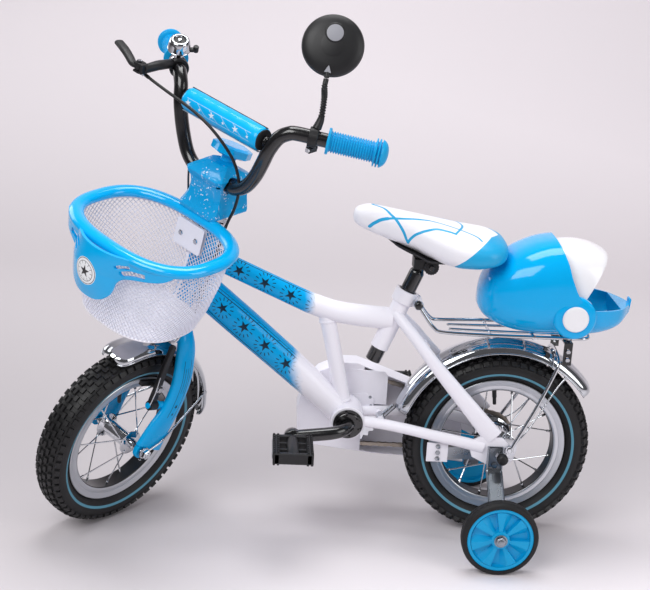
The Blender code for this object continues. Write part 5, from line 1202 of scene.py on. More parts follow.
def guardShells(centre, crown, edge, start, end, tips):
    # radius = edge + (crown - edge) sqrt(1 - t^2.6), t running across the width; the ends are rounded
    angles = np.radians(np.linspace(start, end, 90))
    near = np.degrees(np.minimum(angles - angles[0], angles[-1] - angles))
    share = np.where(near < tips, np.sqrt(np.maximum(0.0, 1 - (1 - near / tips) ** 2)), 1.0)[:, None]
    width, thick = guards["halfWidth"] * (0.55 + 0.45 * share), guards["thick"]
    t = np.sin(np.linspace(-np.pi / 2, np.pi / 2, 27))
    height = np.sqrt(np.maximum(0, 1 - np.abs(t) ** guards["power"]))
    # a rib along the middle, and a groove on either side of it
    rib = 1.1 * np.exp(-(t / 0.16) ** 2) - 0.9 * np.exp(-((np.abs(t) - 0.42) / 0.1) ** 2)
    out = around(angles, xWay, zWay)
    outer = edge + (crown - edge - 1.1 - (crown - edge) * (1 - share) * 0.3 + rib) * height
    rowsOuter = centre + out[:, None] * outer[..., None] + yWay * (width * t)[..., None]
    rowsInner = centre + out[:, None] * (outer - thick)[..., None] + yWay * ((width - thick) * t)[..., None]
    shells = [skin(np.concatenate([rowsOuter, rowsInner[:, ::-1]], 1), ends="strip")]
    for hand in (0, -1):
        shells.append(bar(rowsOuter[:, hand] - out * 0.4, 1.3, sides=10, nose=1.2))
    return shells


def buildRearGuard():
    shells = guardShells(rearHub, guards["rearCrown"], guards["rearEdge"], 33, 163, 7)
    seatBridge, chainBridge = np.array([-128, 0, 314.0]), np.array([-196, 0, 191.0])
    toward, screwWay = unit(rearHub - seatBridge), spin(yWay, -1.1) @ xWay
    shells.append(rod(seatBridge + toward * 6.3, seatBridge + toward * 22, 7, 20))
    shells.append(rod(chainBridge + unit([1, 0, 1]) * 6.3, (-174, 0, 213), 5, 20))
    for centre in (seatBridge, chainBridge):
        shells.append(hoop([(-9, 6.2), (-9, 7.6), (9, 7.6), (9, 6.2)], centre, yWay, 28))
    spot = rearHub + (0.53, 0, 0) + screwWay * 183.6
    shells.append(lathe([(0, 7), (1.6, 6.6), (2.6, 4)], spot, screwWay, 24))
    make("rearGuard", "bike_frame", guardChrome, shells, ["rear_mudguard"], sharp=40)


def buildFrontGuard():
    c, low = frontAxle, onHead(339.7)
    shells = guardShells(c, guards["frontCrown"], guards["frontEdge"], -6, 103, 9)
    shells.append(rod(low, low - steerAxis * 12, 7, 20))
    for side in bothSides:
        foot, out = c + (160.8, 29.8 * side, 36), yWay * side
        path = rounded([foot, c + (36, 65.1 * side, 9), c + (8.8, 65 * side, 2)], 10, 8)
        shells.append(bar(path, 1.9, sides=14, guide=zWay))
        shells.append(lathe([(62.8, 9.4), (63.3, 10), (64.7, 10), (65.2, 9.4)], c, out, 32))
        shells.append(lathe([(-2.5, 4.5), (0, 5), (1.6, 4), (2, 0)], foot, out, 18))
    make("frontGuard", "steered", guardChrome, shells, ["front_mudguard"], sharp=40)


buildRearGuard()
buildFrontGuard()
print("mudguards ready")


# Carrier

rack = {"wire": 3.0, "crossWire": 2.5, "height": 355.0, "halfWidth": 42.0, "stayReach": 187.3,
        "stayDegrees": 63, "thinStay": 1.5, "thinStayDegrees": 51}


def buildCarrier():
    wire, half, z = rack["wire"], rack["halfWidth"], rack["height"]
    ear = seatTop - seatWay * 10 + np.cross(yWay, seatWay) * 23
    path = [ear - yWay * 19, (-138, -24, 379), (-122, -30, 360), (-106, -35, 355), (-40, -half, z),
            (40, -half, z), (106, -half, z), (120, -half, z), (129, -34, z), (132, -20, z), (132, 0, z)]
    side = curve(path, 90)
    shells = [bar(np.vstack([side, mirrored(side[::-1])[1:]]), wire, sides=16, guide=zWay)]
    for hand in bothSides:
        eye = [(-3, 3.2), (-3, 7.4), (-2.4, 8), (2.4, 8), (3, 7.4), (3, 3.2)]
        shells.append(hoop(eye, ear + yWay * 19 * hand, yWay, 28))
    for x in (-30, 40, 96):
        shells.append(rod((x, -42, 353), (x, 42, 353), rack["crossWire"], 14))
        for hand in bothSides:
            weldSpot = [(-3, 0), (-2.4, 3.6), (0, 4.4), (2.4, 3.6), (3, 0)]
            shells.append(lathe(weldSpot, (x, 42 * hand, 354), yWay, 14))
    inner = curve([(-96, -12, 354), (-60, -14, 354), (0, -16, 354), (60, -16, 354), (90, -14, 354)], 30)
    for line in (inner, mirrored(inner)):
        shells.append(bar(line, 2.2, sides=12, guide=zWay, nose=1.5))
    make("carrierRack", "bike_frame", chrome, shells, ["carrier_rack"])
    edged("carrierBracket", "carrier_bracket", "bike_frame", blackPaint, 0.5)
    bolts = [hexNut((95, 52 * hand, height), yWay * hand, 4.4, 0, 3.2, 12)
             for hand in bothSides for height in (322, 336)]
    make("carrierBolts", "bike_frame", chrome, bolts)


def buildStays():
    crossing = rearHub + spin(yWay, -math.radians(rack["stayDegrees"])) @ xWay * rack["stayReach"]
    half = [(15, 69.3, 172), (50, 58, 236), (77, 47, 293), (84, 42, 312), crossing + (-1, 22, -1), crossing]
    line = curve([mirrored(p) for p in half] + half[-2::-1], 120)
    shells, thin = [bar(line, rack["wire"], sides=16, guide=xWay)], []
    # a thin stay from each dropout to the guard's outer edge
    out = spin(yWay, -math.radians(rack["thinStayDegrees"])) @ xWay
    for hand in bothSides:
        side = yWay * hand
        start, end = np.array([12, 63.3 * hand, 168]), rearHub + out * (guards["rearEdge"] - 1) + side * 27.5
        shells.append(hoop([(0, 2.4), (0, 6.4), (0.8, 7), (5.2, 7), (6, 6.4), (6, 2.4)], start, side, 28))
        shells.append(hexNut(start, side, 4.6, 5.6, 8.6, 8))
        route = [(16, 62 * hand, 172), (44, 48 * hand, 197), end - out * 26 + side * 4, end]
        thin.append(bar(curve(route, 40), rack["thinStay"], sides=10, guide=zWay, nose=1))
        thin.append(lathe([(-2, 3.4), (-1, 4), (1, 4), (2, 3.4)], end, yWay, 16))
    make("carrierStay", "bike_frame", chrome, shells, ["carrier_stay"])
    make("guardStay", "bike_frame", chrome, thin)


buildCarrier()
buildStays()
print("carrier ready")


# Helmet-shaped box

boxSizes = {"pivot": np.array([94.0, 0.0, 400.0]), "wall": 3.0, "power": 0.74, "visorRadius": 110.0,
            "visorHalf": 71.0, "visorWall": 2.5, "visorStart": 59.0, "visorEnd": 151.0, "visorPower": 2.6}
# x, top, bottom and half width
boxStations = np.array([(-52, 422, 398, 12), (-46, 443, 386, 34), (-32, 465, 375, 55), (-5, 488, 364, 71),
                        (32, 507, 358.5, 80), (66, 515, 358.5, 82.5), (98, 514.5, 358.5, 83),
                        (140, 490, 361, 74), (174, 450, 372, 52), (197, 408, 391, 13)], float)
visorWhite = moulded("visorWhite", "#F6F6FA", 0.22, coat=0.35, grain=3.0, depth=0.02)


def boxRows(wall):
    stations = boxStations
    if wall:
        stations = stations[1:-1].copy()
        stations[0, 0] += wall
    x, top, bottom, half = curve(stations, 60).T[..., None]
    c, s = squarish(wholeTurn(72), boxSizes["power"])
    z = (top + bottom) / 2 + ((top - bottom) / 2 - wall) * s
    return np.stack([np.broadcast_to(x, z.shape), (half - wall) * c, z], -1)


def buildBox():
    mouth = [(64, 516), (71, 501), (77, 487), (83, 466), (92, 445), (104, 425), (122, 413), (204, 408)]
    edge = rounded(mouth, 4, 5)
    outline = [(64, 600), *edge, (300, 408), (300, 600)]
    shells = [carved(skin(boxRows(0)), skin(boxRows(boxSizes["wall"])), plate(outline, -150, 150, 0.0))]
    for side in bothSides:
        ear = [(72, 35), (78, 34.4), (81, 32), (82.6, 27), (83.1, 22)]
        shells.append(lathe(ear, boxSizes["pivot"], yWay * side, 64))
    lip = [(192, 394), (199, 394), (201, 414), (199.5, 416.5), (197, 416), (196, 402), (192, 402)]
    shells += [plate(lip, -7, 7, 0.7), block((34, -26, 355.8), (102, 26, 366), 1.5)]
    make("helmetBox", "bike_frame", glossBlue, shells, ["box_shell"], sharp=30)


def buildVisor():
    pivot, half, power = boxSizes["pivot"], boxSizes["visorHalf"], boxSizes["visorPower"]
    t = np.sin(np.linspace(-np.pi / 2, np.pi / 2, 41)) * 0.992
    angles = np.linspace(boxSizes["visorStart"], boxSizes["visorEnd"], 61)
    share = np.clip(np.minimum(angles - angles[0], angles[-1] - angles) / 5, 0, 1)
    out = around(np.radians(angles), xWay, zWay)[:, None]
    thick = boxSizes["visorWall"]
    wall = thick / 2 * np.sqrt(1 - (1 - share) ** 2)[:, None] + 0.02
    middle = np.maximum(boxSizes["visorRadius"] * (1 - np.abs(t) ** power) ** (1 / power) - thick / 2, 4)
    outer = pivot + out * (middle + wall)[..., None] + yWay * (half * t)[None, :, None]
    inner = pivot + out * np.maximum(middle - wall, 3)[..., None] + yWay * ((half - thick) * t)[None, :, None]
    shells = [skin(np.concatenate([outer, inner[:, ::-1]], 1), ends="strip")]
    cap = [(83.3, 20.4), (83.8, 21), (85.4, 20.8), (86.9, 19.4), (87.6, 17), (87.8, 14)]
    for side in bothSides:
        shells.append(lathe([(68, 7), (71, 7), (71, 4), (84, 4)], pivot, yWay * side, 28))
        shells.append(lathe(cap, pivot, yWay * side, 56))
    make("boxPeak", "visor", visorWhite, shells, ["box_visor"], sharp=30)


buildBox()
buildVisor()
print("box ready")


# Fork and front brake

brakeAxis = spin(yWay, math.radians(18)) @ xWay
brakeUp = spin(yWay, math.radians(18)) @ zWay
forkLegs = [(-546, 31, 343), (-550, 41, 326), (-554, 47.5, 292), (-560, 51, 258), (-579, 54, 216),
            (-602, 54, 184)]
blackCable = moulded("blackCable", "#141416", 0.5, grain=0.4, depth=0.03)


def brakePivot(side):
    return np.array([-613, 45 * side, 232.0])


def forkFinish():
    # place holds the length down the leg and round it: two dark lines and a row of stars outside
    paint = moulded("forkPaint", tones["blue"], 0.26, coat=0.25, grain=1.5, depth=0.015, specular=0.12,
                    source="place")
    u, v, w = paint.axes("place")
    lines = paint.within(abs(v), 6.6, 7.6) * paint.within(u, 46, 150, 1)
    dashes = paint.within(abs(v), 2.2, 3.1) * paint.within(u, 60, 104, 1)
    stars = star(paint, u - 128, v, 4.6) + star(paint, u - 142, v, 3.2)
    paint.tint(paint.most(lines, dashes, stars) * 0.9, "#16222C")
    return paint


forkPaint = forkFinish()


def buildFork():
    crown = onHead(354)
    shells = [bar([crown - yWay * 33, crown, crown + yWay * 33], 14, 17, 28, guide=headForward, nose=3),
              rod(onHead(357), onHead(370), 16, 36, 1.5), rod(onHead(366), onHead(555.3), 12.7, 36)]
    for side in bothSides:
        pivot = brakePivot(side)
        seat = pivot + brakeAxis * 8.3
        shells += [rod((-574, 53 * side, 223), seat + brakeAxis * 3, 6, 20, 1),
                   rod(seat, seat + brakeAxis * 5, 7.5, 24, 0.8),
                   rod(seat + brakeAxis * 2, pivot - brakeAxis * 10, 4, 18),
                   hexNut(pivot - brakeAxis * 8.6, -brakeAxis, 5.2, 0, 3.6),
                   hoop([(-4, 4.9), (-4, 12.2), (-3.2, 13), (3.2, 13), (4, 12.2), (4, 4.9)],
                        frontAxle + yWay * side * 54, yWay, 40)]
    make("forkCrown", "steered", forkPaint, shells, ["fork"],
         lambda points: points * [0, 1, 1])
    for name, side in (("forkLegLeft", nearSide), ("forkLegRight", farSide)):
        line = curve([(x, y * side, z) for x, y, z in forkLegs] + [frontAxle + (17, 54 * side, -1)], 60)
        deep = np.interp(np.linspace(0, 1, 60), np.linspace(0, 1, 7), [15, 19, 20, 20, 21, 26, 31])
        leg = bar(line, [9, 9, 8.5, 8], deep, 36, power=0.86)

        def place(points, line=line):
            nearest, off = nearestOn(line, points)
            along, _, up = tangentFrames(line, yWay)
            down = runOf(line)[nearest] + (off * along[nearest]).sum(1)
            return np.stack([down, (off * up[nearest]).sum(1), off[:, 1]], 1)

        make(name, "steered", forkPaint, [leg], ["fork"], place)


def buildFrontAxle():
    c = frontAxle
    shells = [rod(c - yWay * 74, c + yWay * 74, 4.4, 20, 1)]
    for side in bothSides:
        out = yWay * side
        shells += [lathe([(43.3, 7), (45.6, 7)], c, out, 28), hexNut(c, out, 8.6, 65.6, 72.4, 10),
                   lathe([(65.3, 9), (66, 9)], c, out, 28), *threads(c, out, (72.6, 73.5), 4.5, 0.3, 14)]
    make("frontAxleBar", "steered", chrome, shells, ["front_axle"])


def buildBrakeArm(name, hand, side):
    pivot, out = brakePivot(side), yWay * side
    ways = (brakeAxis, brakeUp, out)
    tip = [(-5.4 * math.cos(a), 104 + 4 * math.sin(a)) for a in np.linspace(0.3, math.pi - 0.3, 6)]
    arm = [(-7, -4), (-7.4, 8), (-6.4, 40), (-5.4, 90), (-5.4, 103), *tip, (5.4, 103), (5.4, 90), (6.4, 40),
           (7.4, 8), (7, -4)]
    shoe = [(-21.6, -3.6), (-20, -4.4), (20, -4.4), (21.6, -3.6), (21.6, 3.6), (20, 4.4), (-20, 4.4),
            (-21.6, 3.6)]
    spot = frontAxle + brakeUp * 108.4
    shells = [plate(arm, 38.5, 46.5, 1.3, pivot * [1, 0, 1], ways),
              tube(pivot - brakeAxis * 8, pivot + brakeAxis * 8, 4.4, 8, 36),
              plate(shoe, 19.2, 27.6, 0.8, spot, ways), rod(spot + out * 26, spot + out * 39, 4, 20)]
    make(name, hand + "_brake", blackPlastic, shells, ["brake_arm_" + hand])
    spring = [pivot + brakeAxis * back + brakeUp * up + out * y
              for back, up, y in ((-9, 0, 3), (-9, 26, 5), (-8, 52, 2))]
    bolts = [hexNut(spot, out, 5.6, 46.6, 51.4), lathe([(46.4, 6.6), (47.2, 6.6)], spot, out, 24),
             bar(spring, 0.9, sides=8)]
    make(name.replace("Arm", "Bolts"), hand + "_brake", chrome, bolts)


def buildNoodle():
    pipe = curve([(-573.3, -46, 351.4), (-576, -45.4, 346.6), (-579.4, -43, 342.2), (-582, -37, 339.8),
                  (-583, -28, 339.5), (-583, -15, 339.5)], 40)
    shells = [bar(pipe, 2.4, sides=14, guide=xWay, nose=0.8),
              rod((-583, -17, 339.5), (-583, 43, 339.5), 1.2, 10),
              rod((-583, 40, 339.5), (-583, 46, 339.5), 3, 16, 0.6)]
    make("brakeNoodle", "steered", chrome, shells, ["brake_noodle"])
    ridges = [(-14.5, 1.4)]
    for k in range(8):
        ridges += [(-13 + k * 3.1, 3.7), (-11.5 + k * 3.1, 2.6)]
    make("cableBoot", "steered", smallRubber, [lathe(ridges + [(12, 1.4)], (-583, 4, 339.5), yWay, 20)])


buildFork()
buildFrontAxle()
buildBrakeArm("brakeArmLeft", "left", nearSide)
buildBrakeArm("brakeArmRight", "right", farSide)
buildNoodle()
print("fork ready")


# Handlebar and what it carries

barSizes = {"radius": 11.1, "crossRadius": 7.0, "crossHeight": 694.0, "crossHalf": 98.0, "gripBack": 36,
            "gripDrop": 2}
barHalf = [(-496, 32, 596), (-496, 48, 597), (-495, 66, 610), (-494, 80, 633), (-494, 90, 659),
           (-493, 98, 685), (-487, 107, 707), (-480, 119, 718), (-472.4, 129.6, 721), (-446, 166, 719.5)]
gripStart = np.array(barHalf[-1], float)


def gripWay(side):
    back, drop = math.radians(barSizes["gripBack"]), math.radians(barSizes["gripDrop"])
    return np.array([math.cos(drop) * math.sin(back), side * math.cos(drop) * math.cos(back),
                     -math.sin(drop)])


def barPoint(y):
    # the bar's centre line and direction at a side distance
    half = np.array(barHalf)
    side = 1 if y > 0 else -1
    spot, near, far = (np.array([np.interp(abs(y) + step, half[:, 1], half[:, k]) for k in (0, 2)])
                       for step in (0, -4, 4))
    return np.array([spot[0], y, spot[1]]), unit(np.array([far[0] - near[0], 8 * side, far[1] - near[1]]))


def clampRing(spot, way, low, high, wall=4.0):
    inner = barSizes["radius"] + 0.5
    outer = inner + wall
    return hoop([(low, inner), (low, outer - 0.8), (low + 0.8, outer), (high - 0.8, outer),
                 (high, outer - 0.8), (high, inner)], spot, way, 40)


def buildHandlebar():
    half = barHalf + [gripStart + gripWay(farSide) * 80]
    line = curve([mirrored(p) for p in reversed(half)] + half, 220)
    cross = np.array([-491, barSizes["crossHalf"], barSizes["crossHeight"]])
    shells = [bar(line, barSizes["radius"], sides=32, guide=xWay, nose=1.5),
              rod(mirrored(cross), cross, barSizes["crossRadius"], 24),
              bead(mirrored(cross) + yWay * 10, yWay, 7.4, 1.3), bead(cross - yWay * 10, yWay, 7.4, 1.3)]
    make("handlebarTube", "steered", blackPaint, shells, ["handlebar"])


def buildGrip(name, node, side):
    start, way = gripStart * [1, side, 1], gripWay(side)
    profile = [(0, 12), (0, 19.4), (0.6, 20), (3.2, 20), (4, 19.2), (4.6, 15.6)]
    for at in np.arange(6.0, 69, 3.9):
        profile += [(at, 15.5), (at + 0.5, 14.1), (at + 1.5, 14.1), (at + 2.0, 15.5)]
    profile += [(71.4, 15.6), (71.9, 20.6), (72.6, 21.4), (73.6, 21.2), (74.2, 20), (74.4, 16.6),
                (76.2, 16.6), (76.5, 20.4), (77.2, 21.5), (78.4, 21.4), (79, 20.2), (79.2, 17), (80.9, 17),
                (81.2, 20.4), (82.2, 21), (83.6, 20.4), (86, 18.7), (88.6, 16), (90.6, 12.4), (92, 7.4),
                (92.5, 3)]
    # small ribs bridge the grooves all round
    spots, ways = [], []
    for out in around(np.radians(np.arange(0, 360, 15)), *rightAngles(way)):
        along = np.arange(8.95, 69, 3.9)
        spots.append(start + np.outer(along, way) + out * 15.2)
        ways.append(np.repeat([[way, np.cross(out, way), out]], len(along), 0))
    ribs = scatter(knob(1.9, 2.6, 1.0, 0.7), np.concatenate(spots), np.concatenate(ways))
    make(name, "steered", gripRubber, [lathe(profile, start, way, 48), ribs], [node])


def buildBell():
    spot, way = barPoint(150)
    axis = unit([-0.22, -0.2, 0.95])
    seat = spot + axis * 32
    cup = [(-3.4, 17.8), (-2.8, 18.4), (-1.8, 18.6), (-1.2, 18), (4, 17.6), (9, 16.9), (13, 15.9),
           (15.6, 14.4), (16.6, 12.4), (16.4, 11), (15, 10.2), (13.2, 9.4), (13, 0)]
    shells = [clampRing(spot, way, -5, 5, 3), rod(spot + axis * 13.6, seat, 7, 28),
              lathe(cup, seat, axis, 56)]
    make("bellCup", "steered", chrome, shells, ["bell"])
    dial, screw = [(12.9, 9.6), (13.7, 9.2), (14, 8)], [(13.8, 3.4), (15.4, 3.2), (16.2, 2.2)]
    make("bellDial", "steered", blackPlastic, [lathe(dial, seat, axis, 40)])
    make("bellScrew", "steered", chrome, [lathe(screw, seat, axis, 20)])
    low = seat - axis * 7
    tip = low + (20, -17, 5)
    reach = unit(tip - low)
    shells = [tube(low - axis * 2, low + axis * 2, 7.4, 10, 32),
              bar([low + reach * 9, low + reach * 17 + axis * 0.6, tip], 3, 5, 18, guide=axis, nose=1.5),
              lathe([(-4, 3.4), (-3.2, 4.3), (5.6, 4.5), (6.6, 3.9), (7, 2.6)], tip, axis, 24)]
    make("bellThumb", "bell_striker", blackPlastic, shells, ["bell_lever"])


def buildBrakeLever():
    spot, way = barPoint(134)
    pivot, start = np.array([-548, 141, 734.0]), np.array(cableRoute[0])
    forward, leaving = unit(np.cross(zWay, way)), unit((-529, 110, 709) - start)
    body = curve([spot + forward * 12 + (0, 0, 6), (-502, 134, 732), (-520, 130, 735), pivot + (8, -11, 0),
                  pivot + (0, -11, 0)], 30)
    shells = [clampRing(spot, way, -5, 5), bar(body, 7.4, [7.4, 9.4, 6], 24, guide=zWay, nose=1.2),
              block(pivot + (-6.5, -14, -7.6), pivot + (6.5, -7.5, 7.6), 1.2),
              block(pivot + (-7, -9, 4.5), pivot + (7, 6, 8), 1.1),
              block(pivot + (-7, -9, -8), pivot + (7, 6, -4.5), 1.1)]
    make("leverPerch", "steered", blackPlastic, shells, ["brake_perch"])
    barrel = [(-9.4, 4.4), (-8, 4.6), (-7.4, 3.4), (-5.4, 3.4), (-5, 4.6), (-0.9, 4.6), (-0.4, 4)]
    bright = [rod(pivot - zWay * 8.6, pivot + zWay * 8.6, 3, 18, 0.6), hexNut(pivot, zWay, 4.6, 8.2, 11),
              hexNut(pivot, -zWay, 4.4, 8.2, 10.4), lathe(barrel, start, leaving, 12),
              hexNut(spot - forward * 13 + (0, 0, -9), unit(np.cross(way, zWay)), 4, -3, 2)]
    make("leverAdjuster", "steered", chrome, bright)
    blade = curve([pivot + (0, 3, 0), pivot + (0, 14, 0), (-544, 168, 738), (-539, 186, 743),
                   (-532, 210, 746)], 50)
    shells = [hoop([(-4, 3.4), (-4, 6), (-3.4, 6.5), (3.4, 6.5), (4, 6), (4, 3.4)], pivot, zWay, 32),
              bar(blade, [6, 7.4, 8, 7.6], 4.2, 24, guide=xWay, nose=2.4, power=0.8)]
    make("leverBlade", "hand_lever", blackPlastic, shells, ["brake_lever"])


cableRoute = [(-539.3, 135, 721.6), (-537, 116, 717), (-532, 88, 710), (-529, 60, 705), (-526, 28, 698),
              (-523, -2, 687), (-517, -28, 669), (-508, -46, 645), (-501, -54, 618), (-498, -56, 594),
              (-500, -54, 566), (-506, -49, 538), (-514, -46, 495), (-530, -46, 435), (-550, -47, 385),
              (-566, -47, 360), (-573, -46, 352)]


def buildCable():
    line = curve(cableRoute, 170)
    shells = [bar(line, 2.4, sides=14, guide=xWay, nose=0.8)]
    shells += [rod(line[end], line[nearby], 2.9, 16, 0.5) for end, nearby in ((0, 3), (-1, -4))]
    make("brakeCable", "steered", blackCable, shells, ["brake_cable"])


def buildMirror():
    spot, way = barPoint(-149)
    back = unit([-0.693, -0.518, 0.501])
    rise = unit(zWay - back * back[2])
    centre = np.array([-427, -129, 853.0])
    joint = centre - rise * 49 + back
    line = curve([spot + (4, 0, 13), (-447, -148, 750), (-446, -146, 780), joint - rise * 14,
                  joint - rise * 0.7], 260)
    # the stalk narrows, and ripples between its plain ends
    run = runOf(line)
    ripple = np.where((run > 20) & (run < run[-1] - 9), 0.8 * np.cos(run * 2 * np.pi / 4.2), 0)
    radius = np.interp(run, [0, 14, 22, run[-1]], [7, 5.6, 4.2, 4.0]) + ripple
    shells = [clampRing(spot, way, -7, 7), bar(line, radius, sides=22, guide=xWay, nose=1.0),
              block(spot + (-8, -5, -23.4), spot + (9, 5, -14.6), 1.2)]
    make("mirrorArm", "steered", blackPlastic, shells, ["mirror_arm"])
    bolt = lathe([(-10, 3.4), (-8.6, 4.2), (9.6, 4.2), (11.6, 3.4)], spot + (0, 0, -19), xWay, 18)
    make("mirrorBolt", "steered", chrome, [bolt])
    shell = [(-9, 44), (-8.6, 45.4), (-7.4, 46), (-6, 45.9), (-5, 45.3), (-1.2, 44.4), (1.6, 40.5),
             (3.8, 34.8), (5.2, 27), (6, 18.5), (6.3, 16.6), (6.5, 16)]
    shells = [lathe(shell, centre, back, 96), rod(joint, joint + rise * 9, 4, 20, 0.6),
              lathe([(3, 15.4), (6.2, 15), (6.9, 14.2), (7.1, 13)], centre + rise * 17, back, 48)]
    make("mirrorShell", "mirror", blackPlastic, shells, ["mirror_housing"])
    disc, arrow = [(6.8, 12.4), (7.6, 12.2), (7.8, 11.4)], [(-5.2, -3.2), (5.2, -3.2), (0, 8.6)]
    marks = [lathe(disc, centre + rise * 17, back, 40),
             plate(arrow, 1.6, 4.6, 0.5, centre - rise * 38, (np.cross(rise, back), rise, back))]
    make("mirrorDisc", "mirror", greyPlastic, marks)
    glass = lathe([(-9.3, 41.8), (-9.0, 42.3), (-7, 42.3)], centre, back, 96)
    make("mirrorPane", "mirror", mirrorGlass, [glass], ["mirror_glass"])


gripRubber = moulded("gripRubber", "#00AAE6", 0.42, coat=0.1, grain=0.6, depth=0.04, specular=0.3)
greyPlastic = moulded("greyPlastic", "#9B9CA4", 0.4, grain=0.5, depth=0.04)
mirrorGlass = plated("mirrorGlass", "#E8ECEF", 0.02)
buildHandlebar()
buildGrip("gripLeft", "grip_left", nearSide)
buildGrip("gripRight", "grip_right", farSide)
buildBell()
buildBrakeLever()
buildCable()
buildMirror()
print("handlebar ready")


# Stem, its cover and the pad

stemCentre = np.array([-496, 0, 596.0])
# rings of the cover, flared below, drawn in at the waist and wide at the shoulder: height, front, back
# and half width
coverRings = [(543, -532, -448, 40), (548, -531.5, -447, 39.6), (556, -526, -446, 37),
              (566, -521, -446, 34.4), (582, -519, -447, 33.6), (594, -521, -448, 35),
              (601, -525, -450, 37.6), (606.5, -527, -453, 38.6), (609.5, -523, -456, 36),
              (617, -508, -470, 27), (622, -500, -476, 21)]
coverSizes = {"cornerCut": 7, "wall": 2.6, "topWall": 2.8, "openBelow": 20}


def coverFinish():
    # white speckle and a few short rays over the blue
    paint = moulded("coverPlastic", "#00A0DE", 0.28, coat=0.4, grain=1.0, depth=0.03, specular=0.3)
    dots = paint.step(paint.noise(3.2, 0), 0.69, 0.72) * paint.step(paint.noise(24, 1), 0.46, 0.6)
    streaks = paint.step(paint.noise(5.5, 1, stretch=(1, 1, 0.16)), 0.66, 0.7)
    patches = paint.step(paint.noise(30, 0), 0.5, 0.62)
    paint.tint(paint.most(dots, streaks * patches) * 0.8, "#EDF6FB")
    return paint


def coverCorners(z, front, back, half, inside=0.0):
    cut = coverSizes["cornerCut"] - inside
    f, b, h = front + inside, back - inside, half - inside
    return [(f, -h + cut, z), (f, h - cut, z), (f + cut, h, z), (b - cut, h, z), (b, h - cut, z),
            (b, -h + cut, z), (b - cut, -h, z), (f + cut, -h, z)]


def buildStem():
    top, postTop = onHead(556.6), onHead(600)
    bend = postTop - steerAxis * 8
    shells = [rod(onHead(480), top + steerAxis, 10.8, 36, 1), rod(top, postTop, 12.5, 36, 1),
              bar([bend, (bend + stemCentre) / 2, stemCentre], 12, sides=28),
              tube(stemCentre - yWay * 20, stemCentre + yWay * 20, 11.4, 17.1, 48)]
    make("stemPost", "steered", chrome, shells, ["stem"])
    lowered = [coverSizes["openBelow"]] + [coverSizes["topWall"]] * (len(coverRings) - 1)
    inner = skin([coverCorners(z - low, *ring, inside=coverSizes["wall"])
                  for low, (z, *ring) in zip(lowered, coverRings)])
    outer = skin([coverCorners(*ring) for ring in coverRings])
    shell = carved(outer, inner, rod(stemCentre - yWay * 60, stemCentre + yWay * 60, 14.5, 40))
    make("stemCover", "steered", coverPlastic, [shell], ["stem_cover"], sharp=20)
    foot = np.array([-474, 0, 614.0])
    shells = [lathe([(0, 13), (3, 12.2), (15, 11.6), (18, 13)], foot, steerAxis, 32),
              lathe([(15, 25), (18, 33), (29.5, 33), (32.4, 26)], foot, steerAxis, 8)]
    make("stemKnob", "steered", glossBlue, shells, sharp=20)


def padFinish():
    # place holds the length from the middle, the angle round the bar in degrees and the radius
    paint = moulded("padVinyl", "#00B2F2", 0.3, coat=0.35, grain=1.1, depth=0.05, specular=0.2,
                    source="place")
    u, v, w = paint.axes("place")
    rays = paint.under(abs(repeated(u - v * 0.55, 26)), 0.7, 0.25) * paint.within(v, -52, -8, 1.5)
    bands = paint.within(abs(v + 30), 20.5, 22, 0.3) * paint.under(abs(u), 70, 1)
    stars = star(paint, repeated(u - 13, 52), (v + 30) * 0.36, 6.4)
    small = star(paint, repeated(u + 13, 52), (v + 34) * 0.36, 3.4)
    ink = paint.most(rays * paint.under(abs(u), 66, 1) * 0.6, bands * 0.8, stars, small)
    paint.tint(ink * 0.9, "#F4F8FC")
    return paint


padSizes = {"centre": np.array([-491, 0, 694.0]), "half": 83.0, "radius": 20.0, "hollow": 7.4, "swell": 1.0,
            "force": 15.0}


def buildPad():
    centre, half = padSizes["centre"], padSizes["half"]
    u = np.linspace(-half, half, 150)[:, None]
    angle = wholeTurn(72)
    out = around(angle, xWay, zWay)
    # foam under vinyl: a little slimmer at the ends, with shallow creases that die away from them
    edge = half - np.abs(u)
    slim = padSizes["radius"] * (0.955 - 0.06 * np.exp(-edge / 4.0))
    crease = 0.32 * np.exp(-edge / 16) * np.sin(9 * angle + 0.11 * u) * (edge > 1.5)
    reach = slim + crease + 0.16 * np.sin(u * 0.19 + 3 * angle) + 0.1 * np.sin(u * 0.43 - 2 * angle)
    reach[[0, -1]] = padSizes["radius"] * 0.86
    middles = centre + yWay * u[..., None]
    rows = np.concatenate([middles + out * reach[..., None], (middles + out * padSizes["hollow"])[::-1]])

    def place(points):
        x, y, z = (points - centre).T
        return np.stack([y, np.degrees(np.arctan2(z, -x)) - 40, np.hypot(x, z)], 1)

    form = swollen(skin(rows, loop=True), 4.0, padSizes["swell"], padSizes["force"], 2)
    x, y, z = (form[0] - centre).T
    radius = np.percentile(np.hypot(x, z)[np.abs(y) < half / 2], 85)
    pad = make("barPad", "steered", padVinyl, [form], ["handlebar_pad"], place)

    def lengthwise(degrees, lift, *shape, **more):
        way = around(np.radians([degrees]), xWay, zWay)[0]
        line = centre + way * (radius + lift) + np.outer([1 - half, 0, half - 1], yWay)
        return bar(line, *shape, guide=np.cross(way, yWay), **more)

    seams = [lengthwise(degrees, -0.2, 0.9, 0.7, 10, nose=0.6) for degrees in (68, 74)]
    make("padSeam", "steered", blackPlastic, seams)
    make("padStrip", "steered", clearVinyl, [lengthwise(252, 0.2, 5.5, 0.6, 16, power=0.5)])
    foam = [(half - 3, 7.2), (half - 3, 17), (half + 0.1, 16.4), (half + 0.3, 15), (half + 0.3, 7.2)]
    make("padFoam", "steered", blackFoam, [lathe(foam, centre, yWay * side, 40) for side in bothSides])


